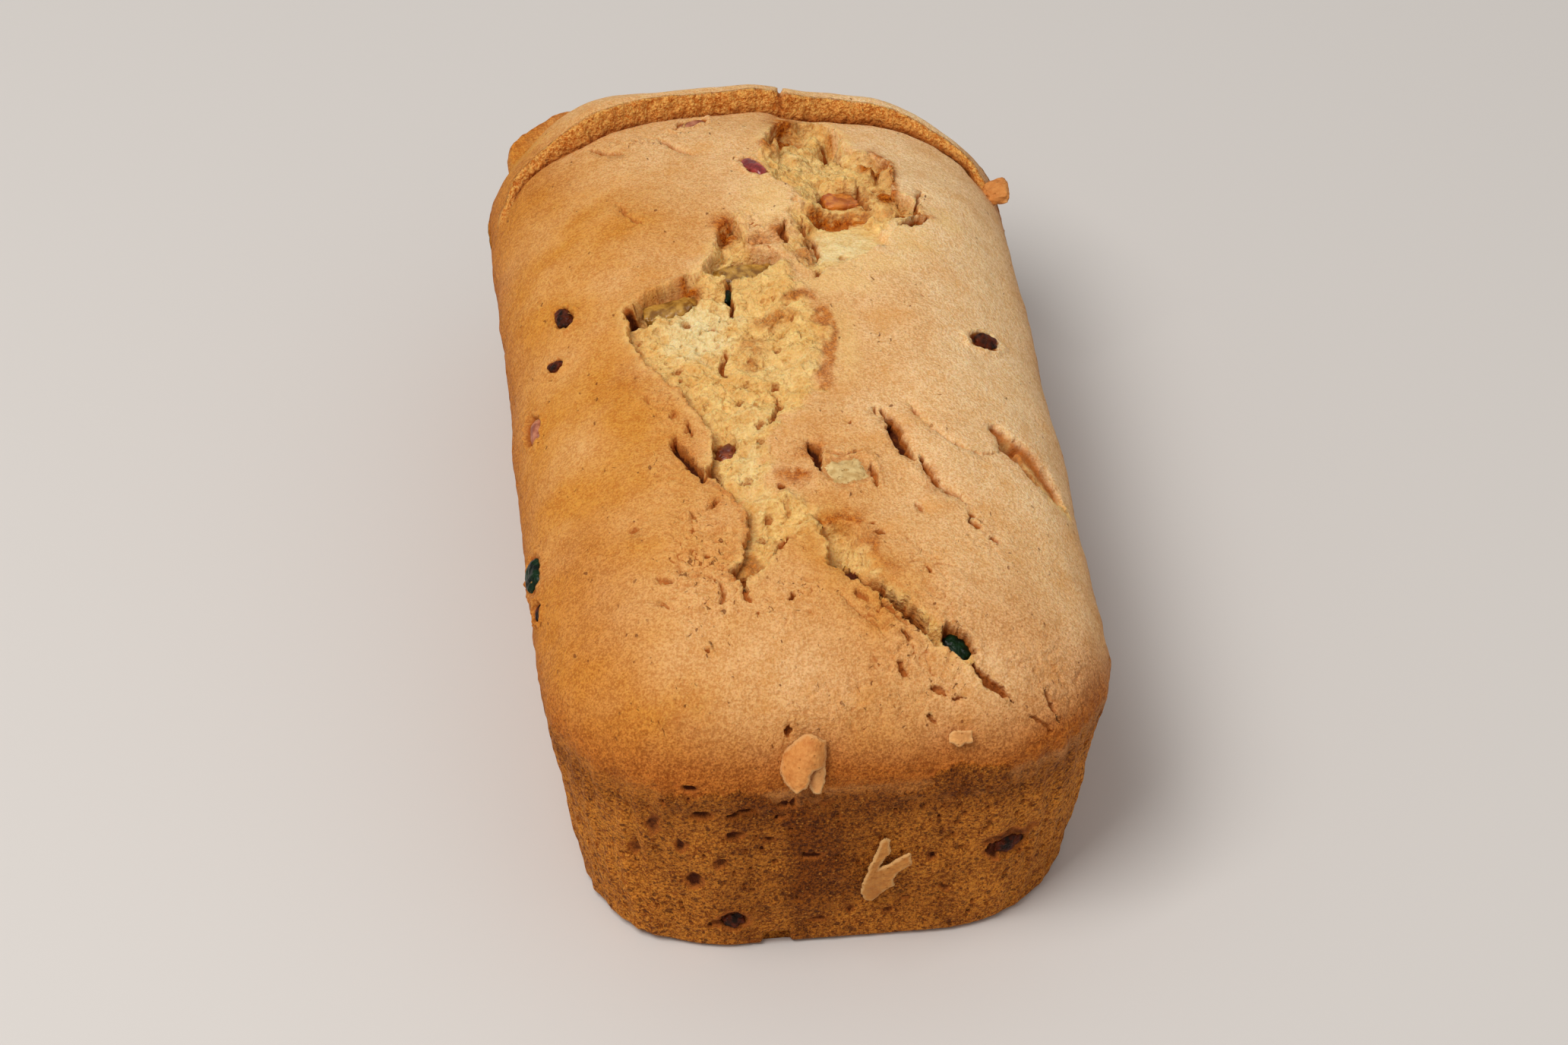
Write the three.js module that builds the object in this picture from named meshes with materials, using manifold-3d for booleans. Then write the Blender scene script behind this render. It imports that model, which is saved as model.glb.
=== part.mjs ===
// A parsnip loaf baked in an 8 1/2 by 4 1/2 inch loaf tin, standing on its flat base.
// The loaf is one baked body: tapered tin sides, a domed crust that split open as it rose, and a
// raised lip of crust along the far end. Pieces of candied fruit sit in pockets in its surface,
// and a few flakes of crust cling to the outside.
// Millimetres, +Z up, X across the loaf, Y along it, origin at the middle of the base.

import * as THREE from "three";
import { mergeVertices } from "three/addons/utils/BufferGeometryUtils.js";
import Module from "manifold-3d";

// Driving dimensions of the baked body.
const BASE_HALF = { x: 48, y: 102 };
const RIM_HALF = { x: 55.3, y: 105 };
const BASE_CORNER = 29;
const RIM_CORNER = 32;
const RIM_HEIGHT = 45; // where the tin ended and the crust starts to round over
const SHOULDER_HEIGHT = 18; // rise of the rounded shoulder above the rim
const CROWN = 8; // rise of the dome above the shoulder
const FOOT_ROUND = 1.6; // rounding at the bottom edge

// How finely the body is faceted.
const COLUMNS = 30;
const ROWS = 52;
const WALL_SHARES = [0.5]; // heights of the wall's rings above the foot, as shares of the rim's

// The far end sank a little, more on its right than on its left.
const FAR_SINK = 4.5;
const FAR_SINK_RIGHT = 4;

// The raised lip of crust that runs round the top of the far end: how high it stands in the
// middle and at the corners, over what distance it rises from the rim, and where it begins.
const LIP = { height: 6.6, cornerHeight: 3.6, rise: 8, from: 62 };

// The line along the foot of the lip, from the left side round to the right. [x, y]
const LIP_FOOT = [
  [-52.5, 62], [-51.5, 70], [-48, 76.5], [-42, 79.5], [-33, 81.5], [-27, 85], [-19, 88.5], [-9, 90.5],
  [8.5, 91.2], [10, 88.4], [20, 89.2], [30, 87], [38, 84.3], [44, 80.5], [48.5, 75], [51.5, 69], [52.8, 62],
];

// The tin's rim left a small ledge of overflowed batter at the far left corner.
const LEDGE = { from: 98, to: 148, reach: 4, bottom: 46.5, top: 50.2 };

// Each piece keeps this gap to the body it sits in or clings to.
const GAP = 0.3;

// Outlines of the tears and cracks, counter-clockwise from above. [x, y]
const MAIN_TEAR = [
  [-30.5, 14], [-30.5, 3], [-27.5, -6], [-22, -16], [-18, -26], [-18, -37], [-19, -42.5], [-14.5, -49.5],
  [-14, -60], [-17, -69], [-14, -73], [-9.5, -66], [-6.5, -61.5], [-2, -60], [1.5, -62], [1, -54],
  [-2, -48.5], [-7, -46], [-6.5, -37], [-3, -29.5], [4, -22], [8, -9], [10, 2], [7.5, 12], [6, 24],
  [-1.5, 25], [-5, 30], [-4.5, 40.5], [-9.5, 36], [-12.5, 25.5], [-18, 20], [-24, 15.8],
];
const NEAR_CRACK = [
  [1, -54], [1.5, -68], [8, -73], [13, -80], [19, -88], [27, -94], [25.5, -88], [19, -83], [14, -76],
  [10, -69], [9, -58.5],
];
const FAR_TEAR = [
  [4, 27], [10, 24], [18, 27], [25, 33], [34, 41], [29, 50], [30, 60], [25, 70], [22, 80], [17.5, 90.5],
  [14, 85], [6, 77], [1.5, 68], [1, 60], [6, 52], [7, 42],
];
const RIGHT_CRACK = [
  [18, -26.5], [17.5, -33], [21, -41], [26, -50], [24.5, -42.5], [21, -37.5], [20, -31],
];
const EDGE_HOLE = [[40, -28], [42, -33], [47.5, -38], [50.5, -43], [51.5, -39], [46, -31.5]];
const LEFT_CRACK = [[-25, -29], [-23.5, -36.5], [-20.5, -43], [-20.3, -39.5], [-22.5, -35]];
const TEARS = [MAIN_TEAR, NEAR_CRACK, FAR_TEAR, RIGHT_CRACK, EDGE_HOLE, LEFT_CRACK];

// How far the crumb lies under the crust inside the tears. The right side of the main tear
// rises gently to the crust; this line is where it meets it. [x, y]
const CRUMB_DEPTH = 3.8;
const SOFT_EDGE = [[6, 25], [7.5, 12], [10, 2], [8, -9], [4, -22], [-3, -29.5]];
const SOFT_RISE = 11; // distance over which it rises

// Fruit in the top: where it is, its length, width and thickness, how far it is turned about Z
// in degrees, and how far its middle lies under the surface.
const TOP_FRUIT = [
  { name: "dried_cherry_left", at: [-43, 20], size: [7, 4.2, 3.6], turn: 110, sink: 1.1 },
  { name: "dried_cherry_left_small", at: [-46, 7.5], size: [4.2, 3, 3], turn: 160, sink: 0.9 },
  { name: "dried_cherry_right", at: [42, 2.5], size: [7.6, 4.6, 4], turn: 20, sink: 1.2 },
  { name: "red_cherry_far", at: [0.6, 59.5], size: [8.4, 3.8, 4], turn: 118, sink: 1 },
  { name: "pink_cherry_far", at: [-10.5, 83], size: [8, 3.6, 3], turn: 35, sink: 1 },
  { name: "papaya_chunk", at: [17.8, 49.5], size: [8.5, 7, 6], turn: 10, sink: 1.4 },
  { name: "peel_strip_far", at: [-4.8, 24], size: [14, 6, 5], turn: 5, sink: 1.2 },
  { name: "peel_strip_left", at: [-21.2, 15.6], size: [13, 6, 5], turn: 12, sink: 1.3 },
  { name: "angelica_bit", at: [-9.8, 17.6], size: [4.4, 2.6, 3], turn: 80, sink: 0.9 },
  { name: "cherry_in_tear", at: [-14.8, -31.6], size: [6, 4.6, 4.4], turn: 70, sink: 1.2 },
  { name: "melon_chunk", at: [7.6, -44], size: [9.5, 8.4, 5.4], turn: 0, sink: 2 },
  { name: "green_cherry_near", at: [23.5, -86.8], size: [7.4, 4.6, 4.6], turn: 122, sink: 1.1 },
];

// Fruit in the walls: which wall, its place along the wall and its height, its length along the
// wall, its height and its thickness, and how far its middle lies inside.
const WALL_FRUIT = [
  { name: "green_cherry_side", wall: "left", along: -46, up: 50.5, size: [7.6, 6.4, 6], sink: 0.8 },
  { name: "pink_fruit_side", wall: "left", along: -6.5, up: 54, size: [8, 6, 3.4], sink: 1.2 },
  { name: "cherry_side_near", wall: "left", along: -56, up: 50, size: [4.4, 3.4, 3], sink: 0.8 },
  { name: "dark_cherry_front", wall: "front", along: 33, up: 22, size: [7, 5, 4], sink: 1.4 },
  { name: "raisin_front", wall: "front", along: -21, up: 7.8, size: [4.6, 4.4, 3], sink: 1 },
];

// The flat forked flake that clings to the front wall. [x, z]
const FORKED_FLAKE = [
  [4.6, 12.4], [3.5, 15], [4.2, 21], [6.6, 29.6], [8.4, 29.8], [8.2, 25.6], [6.8, 22.2],
  [9.4, 22.8], [13, 25], [13.2, 22.2], [10.6, 19], [9.6, 14.8], [7, 13],
];
const FLAKE_THICKNESS = 1.2;

const crustFinish = new THREE.MeshStandardMaterial({ color: 0xd2944b, roughness: 0.75, metalness: 0 });
const flakeFinish = new THREE.MeshStandardMaterial({ color: 0xcf9c5c, roughness: 0.8, metalness: 0 });
const fruitFinish = {
  dark: new THREE.MeshStandardMaterial({ color: 0x35120f, roughness: 0.3, metalness: 0 }),
  red: new THREE.MeshStandardMaterial({ color: 0x8c2f2c, roughness: 0.3, metalness: 0 }),
  green: new THREE.MeshStandardMaterial({ color: 0x12301f, roughness: 0.3, metalness: 0 }),
  amber: new THREE.MeshStandardMaterial({ color: 0xa9742e, roughness: 0.35, metalness: 0 }),
};
const FRUIT_KIND = {
  dried_cherry_left: "dark", dried_cherry_left_small: "dark", dried_cherry_right: "dark",
  red_cherry_far: "red", pink_cherry_far: "red", papaya_chunk: "amber",
  peel_strip_far: "amber", peel_strip_left: "amber", angelica_bit: "green",
  cherry_in_tear: "red", melon_chunk: "amber", green_cherry_near: "green",
  green_cherry_side: "green", pink_fruit_side: "red", cherry_side_near: "red",
  dark_cherry_front: "dark", raisin_front: "dark",
};

const clamp = (v, low, high) => Math.min(high, Math.max(low, v));
const smooth = (v) => clamp(v, 0, 1) ** 2 * (3 - 2 * clamp(v, 0, 1));

// How far (x, y) lies outside a rectangle with the corner's radius taken off, as a share of it.
function cornerShare(x, y, half, corner) {
  const u = clamp((Math.abs(x) - (half.x - corner)) / corner, 0, 1);
  const v = clamp((Math.abs(y) - (half.y - corner)) / corner, 0, 1);
  return [u, v];
}

// Distance from (x, y) to the segment a-b.
function toSegment(x, y, a, b) {
  const along = [b[0] - a[0], b[1] - a[1]];
  const t = ((x - a[0]) * along[0] + (y - a[1]) * along[1]) / (along[0] ** 2 + along[1] ** 2);
  const s = clamp(t, 0, 1);
  return Math.hypot(x - a[0] - s * along[0], y - a[1] - s * along[1]);
}

// Height of the top crust over the base at (x, y), with the far end sunk by the given amounts.
function domeHeight(x, y, sinkLeft, sinkRight) {
  const [u, v] = cornerShare(x, y, RIM_HALF, RIM_CORNER);
  const round = Math.sqrt(Math.max(0, 1 - u * u - v * v));
  const dome = CROWN * (1 - (x / RIM_HALF.x) ** 2) * (1 - (Math.abs(y) / RIM_HALF.y) ** 4);
  const sink = sinkLeft + (sinkRight - sinkLeft) * smooth((x - 3) / 14);
  return RIM_HEIGHT + SHOULDER_HEIGHT * round + dome - sink * smooth((y - 35) / 55) * Math.sqrt(round);
}

const crustHeight = (x, y) => domeHeight(x, y, FAR_SINK, FAR_SINK + FAR_SINK_RIGHT);

// Height of the crumb inside the tears.
function crumbHeight(x, y) {
  const toSoft = Math.min(...SOFT_EDGE.slice(1).map((b, i) => toSegment(x, y, SOFT_EDGE[i], b)));
  return crustHeight(x, y) - CRUMB_DEPTH * smooth(0.15 + toSoft / SOFT_RISE);
}

// Height of the lip of crust at the far end, rising from the rim's outline inwards.
function lipHeight(x, y) {
  const [u, v] = cornerShare(x, y, RIM_HALF, RIM_CORNER);
  const inset = RIM_CORNER * (1 - Math.hypot(u, v));
  const height = LIP.height + (LIP.cornerHeight - LIP.height) * smooth((Math.abs(x) - 30) / 18);
  const rise = Math.sin((Math.PI / 2) * clamp(inset / LIP.rise, 0, 1));
  return domeHeight(x, y, FAR_SINK, FAR_SINK) + height * rise * smooth((y - LIP.from) / 12);
}

// A point of the top. s and t run from -1 to 1 across and along. Where both are in a corner, the
// square of the grid is rounded into a quarter disc, which the shoulder's arc then turns down.
function topPoint(s, t, height) {
  const x = RIM_HALF.x * s;
  const y = RIM_HALF.y * t;
  const [u, v] = cornerShare(x, y, RIM_HALF, RIM_CORNER);
  const across = u * Math.sqrt(1 - (v * v) / 2);
  const along = v * Math.sqrt(1 - (u * u) / 2);
  const r = Math.hypot(across, along);
  const stretch = r > 0 ? Math.sin((r * Math.PI) / 2) / r : 1;
  const X = u > 0 ? Math.sign(x) * (RIM_HALF.x - RIM_CORNER * (1 - across * stretch)) : x;
  const Y = v > 0 ? Math.sign(y) * (RIM_HALF.y - RIM_CORNER * (1 - along * stretch)) : y;
  return [X, Y, height(X, Y)];
}

// A point of the wall at a share h of the rim's height, on the same ray of the outline.
function wallPoint(s, t, h) {
  const half = {
    x: BASE_HALF.x + (RIM_HALF.x - BASE_HALF.x) * h,
    y: BASE_HALF.y + (RIM_HALF.y - BASE_HALF.y) * h,
  };
  const corner = BASE_CORNER + (RIM_CORNER - BASE_CORNER) * h;
  const sharedU = clamp((Math.abs(s) * RIM_HALF.x - (RIM_HALF.x - RIM_CORNER)) / RIM_CORNER, 0, 1);
  const sharedV = clamp((Math.abs(t) * RIM_HALF.y - (RIM_HALF.y - RIM_CORNER)) / RIM_CORNER, 0, 1);
  const flatX = clamp((Math.abs(s) * RIM_HALF.x) / (RIM_HALF.x - RIM_CORNER), 0, 1);
  const flatY = clamp((Math.abs(t) * RIM_HALF.y) / (RIM_HALF.y - RIM_CORNER), 0, 1);
  const across = sharedU * Math.sqrt(1 - (sharedV * sharedV) / 2);
  const along = sharedV * Math.sqrt(1 - (sharedU * sharedU) / 2);
  const X = Math.sign(s) * ((half.x - corner) * flatX + corner * across);
  const Y = Math.sign(t) * ((half.y - corner) * flatY + corner * along);
  const z = RIM_HEIGHT * h;
  const foot = FOOT_ROUND * (1 - Math.sqrt(clamp(2 * (z / FOOT_ROUND) - (z / FOOT_ROUND) ** 2, 0, 1)));
  const inward = z < FOOT_ROUND ? foot : 0;
  const keep = 1 - inward / Math.hypot(X, Y);
  return [X * keep, Y * keep, z];
}

// The grid's lines lie closer together towards the middle, where the tears are.
const gridShare = (i, count) => {
  const s = (2 * i) / count - 1;
  return 0.8 * s + 0.2 * s ** 3;
};

// The baked body as one closed surface: the top grid at the heights that a function of x and y
// gives, rings down the wall, and the flat base.
function bodyGeometry(height) {
  const positions = [];
  const faces = [];
  const topIndex = (i, j) => j * (COLUMNS + 1) + i;
  for (let j = 0; j <= ROWS; j++)
    for (let i = 0; i <= COLUMNS; i++)
      positions.push(...topPoint(gridShare(i, COLUMNS), gridShare(j, ROWS), height));
  for (let j = 0; j < ROWS; j++)
    for (let i = 0; i < COLUMNS; i++) {
      const [a, b, c, d] = [topIndex(i, j), topIndex(i + 1, j), topIndex(i + 1, j + 1), topIndex(i, j + 1)];
      faces.push(a, b, c, a, c, d);
    }

  const border = [];
  for (let i = 0; i < COLUMNS; i++) border.push([i, 0]);
  for (let j = 0; j < ROWS; j++) border.push([COLUMNS, j]);
  for (let i = COLUMNS; i > 0; i--) border.push([i, ROWS]);
  for (let j = ROWS; j > 0; j--) border.push([0, j]);

  let above = border.map(([i, j]) => topIndex(i, j));
  for (const h of [...WALL_SHARES, FOOT_ROUND / RIM_HEIGHT, 0]) {
    const ring = border.map(([i, j]) => {
      positions.push(...wallPoint(gridShare(i, COLUMNS), gridShare(j, ROWS), h));
      return positions.length / 3 - 1;
    });
    ring.forEach((_, k) => {
      const next = (k + 1) % ring.length;
      faces.push(ring[k], ring[next], above[next], ring[k], above[next], above[k]);
    });
    above = ring;
  }

  positions.push(0, 0, 0);
  const centre = positions.length / 3 - 1;
  above.forEach((v, k) => faces.push(centre, above[(k + 1) % above.length], v));
  return new THREE.BufferGeometry()
    .setAttribute("position", new THREE.BufferAttribute(new Float32Array(positions), 3))
    .setIndex(faces);
}

// Whether (x, y) lies inside one of the tears: an odd number of edges lies beyond it.
function tearsAt(x, y) {
  const crossings = (outline) =>
    outline.filter((a, i) => {
      const b = outline[(i + 1) % outline.length];
      return a[1] > y !== b[1] > y && x < a[0] + ((y - a[1]) / (b[1] - a[1])) * (b[0] - a[0]);
    }).length;
  return TEARS.some((outline) => crossings(outline) % 2 === 1);
}

// An upright prism over an outline in X and Y.
function prism(outline, bottom, top) {
  const shape = new THREE.Shape(outline.map(([x, y]) => new THREE.Vector2(x, y)));
  const geometry = new THREE.ExtrudeGeometry(shape, { depth: top - bottom, bevelEnabled: false });
  return geometry.translate(0, 0, bottom);
}

// The ledge: a crescent round the corner's centre, widest in its middle.
function ledgeGeometry() {
  const centre = [-(RIM_HALF.x - RIM_CORNER), RIM_HALF.y - RIM_CORNER];
  const steps = 12;
  const at = (share, radius) => {
    const angle = THREE.MathUtils.degToRad(LEDGE.from + (LEDGE.to - LEDGE.from) * share);
    return [centre[0] + radius * Math.cos(angle), centre[1] + radius * Math.sin(angle)];
  };
  const shares = Array.from({ length: steps + 1 }, (_, i) => i / steps);
  const outer = shares.map((share) => at(share, RIM_CORNER + LEDGE.reach * Math.sin(Math.PI * share) ** 0.5));
  const inner = shares.map((share) => at(share, RIM_CORNER - 4)).reverse();
  return prism([...outer, ...inner], LEDGE.bottom, LEDGE.top);
}

// A lump of fruit: a rounded block of the given length, width and thickness, grown by a margin.
function fruitGeometry([length, width, thickness], margin = 0) {
  const lump = new THREE.SphereGeometry(1, 10, 6);
  const place = lump.getAttribute("position");
  const square = (v) => Math.sign(v) * Math.abs(v) ** 0.8;
  for (let i = 0; i < place.count; i++)
    place.setXYZ(
      i,
      square(place.getX(i)) * (length / 2 + margin),
      square(place.getY(i)) * (width / 2 + margin),
      square(place.getZ(i)) * (thickness / 2 + margin),
    );
  return lump;
}

// Fruit in the top lies along the crust's slope at its place.
function placeOnTop(piece, { at: [x, y], turn, sink }) {
  const step = 2;
  const slopeX = (crustHeight(x + step, y) - crustHeight(x - step, y)) / (2 * step);
  const slopeY = (crustHeight(x, y + step) - crustHeight(x, y - step)) / (2 * step);
  const normal = new THREE.Vector3(-slopeX, -slopeY, 1).normalize();
  const tilt = new THREE.Quaternion().setFromUnitVectors(new THREE.Vector3(0, 0, 1), normal);
  const spin = new THREE.Quaternion().setFromAxisAngle(
    new THREE.Vector3(0, 0, 1),
    THREE.MathUtils.degToRad(turn),
  );
  piece.quaternion.copy(tilt.multiply(spin));
  const inTear = tearsAt(x, y) ? crumbHeight(x, y) : crustHeight(x, y);
  piece.position.set(x, y, inTear).addScaledVector(normal, -sink);
}

// Where the outside is at a place along a wall and a height, and the direction that faces out.
function wallSite(wall, along, up) {
  const h = Math.min(up / RIM_HEIGHT, 1);
  const halfX = BASE_HALF.x + (RIM_HALF.x - BASE_HALF.x) * h;
  const halfY = BASE_HALF.y + (RIM_HALF.y - BASE_HALF.y) * h;
  const corner = BASE_CORNER + (RIM_CORNER - BASE_CORNER) * h;
  const overRim = clamp((up - RIM_HEIGHT) / SHOULDER_HEIGHT, 0, 1);
  const pulledIn = RIM_CORNER * (1 - Math.sqrt(1 - overRim ** 2));
  if (wall === "left") {
    const out = new THREE.Vector3(-1, 0, overRim).normalize();
    return { point: new THREE.Vector3(-halfX + pulledIn, along, up), out };
  }
  const round = clamp((Math.abs(along) - (halfX - corner)) / corner, 0, 0.98);
  const y = -(halfY - corner * (1 - Math.sqrt(1 - round * round)));
  const out = new THREE.Vector3(Math.sign(along) * round, -Math.sqrt(1 - round * round), 0);
  return { point: new THREE.Vector3(along, y, up), out };
}

// Turns a piece so that its own X lies along the wall, its Y up the wall and its Z out of it.
function placeOnWall(piece, point, out, lift) {
  const up = new THREE.Vector3(0, 0, 1).addScaledVector(out, -out.z).normalize();
  const along = new THREE.Vector3().crossVectors(up, out);
  piece.quaternion.setFromRotationMatrix(new THREE.Matrix4().makeBasis(along, up, out));
  piece.position.copy(point).addScaledVector(out, lift);
}

function fruitPieces(margin = 0) {
  const onTop = TOP_FRUIT.map((fruit) => {
    const piece = new THREE.Mesh(fruitGeometry(fruit.size, margin), fruitFinish[FRUIT_KIND[fruit.name]]);
    piece.name = fruit.name;
    placeOnTop(piece, fruit);
    return piece;
  });
  const onWalls = WALL_FRUIT.map((fruit) => {
    const piece = new THREE.Mesh(fruitGeometry(fruit.size, margin), fruitFinish[FRUIT_KIND[fruit.name]]);
    piece.name = fruit.name;
    const { point, out } = wallSite(fruit.wall, fruit.along, fruit.up);
    placeOnWall(piece, point, out, -fruit.sink);
    return piece;
  });
  return [...onTop, ...onWalls];
}

// The flat forked flake, extruded and laid against the front wall.
function forkedFlake() {
  const middle = [8.4, 21];
  const shape = new THREE.Shape(FORKED_FLAKE.map(([x, z]) => new THREE.Vector2(x - middle[0], z - middle[1])));
  const geometry = new THREE.ExtrudeGeometry(shape, { depth: FLAKE_THICKNESS, bevelEnabled: false });
  const piece = new THREE.Mesh(geometry, flakeFinish);
  piece.name = "crust_flake_forked";
  const { point } = wallSite("front", middle[0], middle[1]);
  const lean = (RIM_HALF.y - BASE_HALF.y) / RIM_HEIGHT;
  placeOnWall(piece, point, new THREE.Vector3(0, -1, -lean).normalize(), GAP);
  return piece;
}

// The curled flake that stands on the near shoulder: a short thick arc of crust.
function curledFlake() {
  const [x, y] = [-7.8, -103.6];
  const [inner, outer] = [6.1, 7.4];
  const half = 1; // half the arc it spans, in radians
  const length = 8.8;
  const out = new THREE.Vector3(0, -0.8, 0.6);
  const lift = outer - inner * Math.cos(half) + 2 * GAP;
  const shape = new THREE.Shape();
  shape.absarc(0, 0, outer, -half, half, false);
  shape.absarc(0, 0, inner, half, -half, true);
  const geometry = new THREE.ExtrudeGeometry(shape, { depth: length, bevelEnabled: false, curveSegments: 10 });
  geometry.translate(-outer, 0, -length / 2);
  geometry.rotateY(-Math.PI / 2);
  const piece = new THREE.Mesh(geometry, flakeFinish);
  piece.name = "crust_flake_curled";
  placeOnWall(piece, new THREE.Vector3(x, y, crustHeight(x, y)), out, lift);
  return piece;
}

// A crumb of crust on the outside: a small rough lump with flat sides.
function crustCrumb(name, [x, y, z], size, out, lift) {
  const geometry = new THREE.IcosahedronGeometry(1, 1).scale(size[0] / 2, size[1] / 2, size[2] / 2);
  const piece = new THREE.Mesh(geometry, flakeFinish);
  piece.name = name;
  placeOnWall(piece, new THREE.Vector3(x, y, z), new THREE.Vector3(...out).normalize(), lift);
  return piece;
}

// A manifold solid from a placed mesh, with its shared corners merged.
function solidOf(wasm, piece) {
  piece.updateMatrixWorld(true);
  const plain = piece.geometry.clone();
  plain.deleteAttribute("normal");
  plain.deleteAttribute("uv");
  const merged = mergeVertices(plain.applyMatrix4(piece.matrixWorld), 1e-3);
  return new wasm.Manifold(
    new wasm.Mesh({
      numProp: 3,
      vertProperties: merged.getAttribute("position").array,
      triVerts: new Uint32Array(merged.getIndex().array),
    }),
  );
}

function meshOf(solid, name, material) {
  const { vertProperties, triVerts } = solid.getMesh();
  const geometry = new THREE.BufferGeometry()
    .setAttribute("position", new THREE.BufferAttribute(vertProperties, 3))
    .setIndex(new THREE.BufferAttribute(triVerts, 1));
  geometry.computeVertexNormals();
  const mesh = new THREE.Mesh(geometry, material);
  mesh.name = name;
  return mesh;
}

const wasm = await Module();
wasm.setup();

// The body is the dome with its lip and ledge, opened down to the crumb along the tears, with a
// pocket for each piece of fruit, a little larger than the fruit.
const solid = (geometry) => solidOf(wasm, new THREE.Mesh(geometry));
const lipPrism = prism([...LIP_FOOT, [70, 62], [70, 120], [-70, 120], [-70, 62]].reverse(), 40, 90);
const lip = solid(bodyGeometry(lipHeight)).intersect(solid(lipPrism));
const crumb = solid(bodyGeometry(crumbHeight));
let body = solid(bodyGeometry(crustHeight)).add(lip).add(solid(ledgeGeometry()));
for (const outline of TEARS) body = body.subtract(solid(prism(outline, 40, 90)).subtract(crumb));
for (const pocket of fruitPieces(GAP)) body = body.subtract(solidOf(wasm, pocket));

const loaf = new THREE.Group();
loaf.add(meshOf(body, "loaf", crustFinish));
loaf.add(...fruitPieces());
loaf.add(forkedFlake(), curledFlake());
loaf.add(crustCrumb("crust_flake_small", [22, -102.4, 53], [4.4, 3.4, 1.4], [0, -0.85, 0.5], 1.5));
loaf.add(crustCrumb("crust_crumb_far", [52.7, 69, 48.6], [7, 4.2, 3.4], [1, 0.1, 0.4], 3.3));

export default loaf;
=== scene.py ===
import math

import bpy
import numpy as np
from mathutils import Matrix, Vector


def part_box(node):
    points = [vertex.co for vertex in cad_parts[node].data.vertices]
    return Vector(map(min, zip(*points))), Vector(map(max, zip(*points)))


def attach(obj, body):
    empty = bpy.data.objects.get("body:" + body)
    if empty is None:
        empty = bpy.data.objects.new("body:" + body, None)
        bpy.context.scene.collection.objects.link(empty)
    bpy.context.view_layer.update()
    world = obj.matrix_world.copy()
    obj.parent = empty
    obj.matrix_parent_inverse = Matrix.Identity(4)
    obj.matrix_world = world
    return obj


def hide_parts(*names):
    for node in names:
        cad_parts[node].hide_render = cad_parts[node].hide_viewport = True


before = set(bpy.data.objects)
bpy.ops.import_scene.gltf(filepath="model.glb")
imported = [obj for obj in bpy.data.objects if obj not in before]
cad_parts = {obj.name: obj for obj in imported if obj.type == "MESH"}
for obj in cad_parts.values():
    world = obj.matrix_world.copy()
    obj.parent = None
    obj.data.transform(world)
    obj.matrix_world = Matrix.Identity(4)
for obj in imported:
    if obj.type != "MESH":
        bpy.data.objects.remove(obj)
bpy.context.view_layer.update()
scene = bpy.context.scene

# ---------------------------------------------------------------------------------------------
# The table top and the daylight.
# A plain pale floor under the loaf, a large soft window on the left, and the dimmer light that
# the room gives back from all sides.

MM = 0.001
AIM = Vector((-2.2, -23.1, 40.0)) * MM
CAMERA_DISTANCE = 0.9442
CAMERA_HEADING = math.radians(6.68)
CAMERA_HEIGHT = math.radians(41.10)
CAMERA_ROLL = math.radians(0.244)
CAMERA_LENS, SENSOR_WIDTH = 107.17, 36

camera = bpy.data.objects.new("camera", bpy.data.cameras.new("camera"))
scene.collection.objects.link(camera)
camera.data.lens = CAMERA_LENS
camera.data.sensor_width = SENSOR_WIDTH
camera.data.clip_start = 0.05
towards = Vector((
    math.sin(CAMERA_HEADING) * math.cos(CAMERA_HEIGHT),
    math.cos(CAMERA_HEADING) * math.cos(CAMERA_HEIGHT),
    -math.sin(CAMERA_HEIGHT),
))
camera.location = AIM - towards * CAMERA_DISTANCE
level = towards.to_track_quat("-Z", "Y").to_matrix()
camera.rotation_euler = (level @ Matrix.Rotation(CAMERA_ROLL, 3, "Z")).to_euler()
scene.camera = camera


def srgb(red, green, blue):
    """A colour given as screen values from 0 to 255, turned into the linear values of a shader."""
    parts = np.array([red, green, blue]) / 255
    linear = np.where(parts <= 0.04045, parts / 12.92, ((parts + 0.055) / 1.055) ** 2.4)
    return (*linear.tolist(), 1.0)


FLOOR_HALF = 2  # metres
floor_corners = [(x * FLOOR_HALF, y * FLOOR_HALF, 0) for x, y in ((-1, -1), (1, -1), (1, 1), (-1, 1))]
floor_mesh = bpy.data.meshes.new("floor")
floor_mesh.from_pydata(floor_corners, [], [(0, 1, 2, 3)])
floor = bpy.data.objects.new("floor", floor_mesh)
scene.collection.objects.link(floor)
floor_paint = bpy.data.materials.new("pale floor")
floor_paint.use_nodes = True
floor_shader = floor_paint.node_tree.nodes["Principled BSDF"]
floor_shader.inputs["Base Color"].default_value = srgb(214, 210, 206)
floor_shader.inputs["Roughness"].default_value = 0.6
floor_mesh.materials.append(floor_paint)


WINDOW_PLACE = Vector((-0.55, -0.42, 1.28))
LOAF_MIDDLE = Vector((0, 0, 0.03))
window = bpy.data.lights.new("window", "AREA")
window.size = 0.75
window.energy = 13.9
window.color = (1.0, 0.975, 0.95)
window_frame = bpy.data.objects.new("window", window)
scene.collection.objects.link(window_frame)
window_frame.location = WINDOW_PLACE
window_frame.rotation_euler = (LOAF_MIDDLE - WINDOW_PLACE).to_track_quat("-Z", "Y").to_euler()

world = bpy.data.worlds.new("room light")
world.use_nodes = True
room = world.node_tree.nodes["Background"]
room.inputs["Color"].default_value = (1.0, 0.97, 0.94, 1.0)
room.inputs["Strength"].default_value = 0.47
scene.world = world
scene.view_settings.view_transform = "Standard"

# ---------------------------------------------------------------------------------------------
# The baked loaf.
# One body of cake: tin-browned sides, and a domed golden crust that tore open as it rose. The
# surface is a grid over the top, rings down the sides and rings across the flat base, all in
# millimetres, moved out or in along its own normals.

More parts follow.
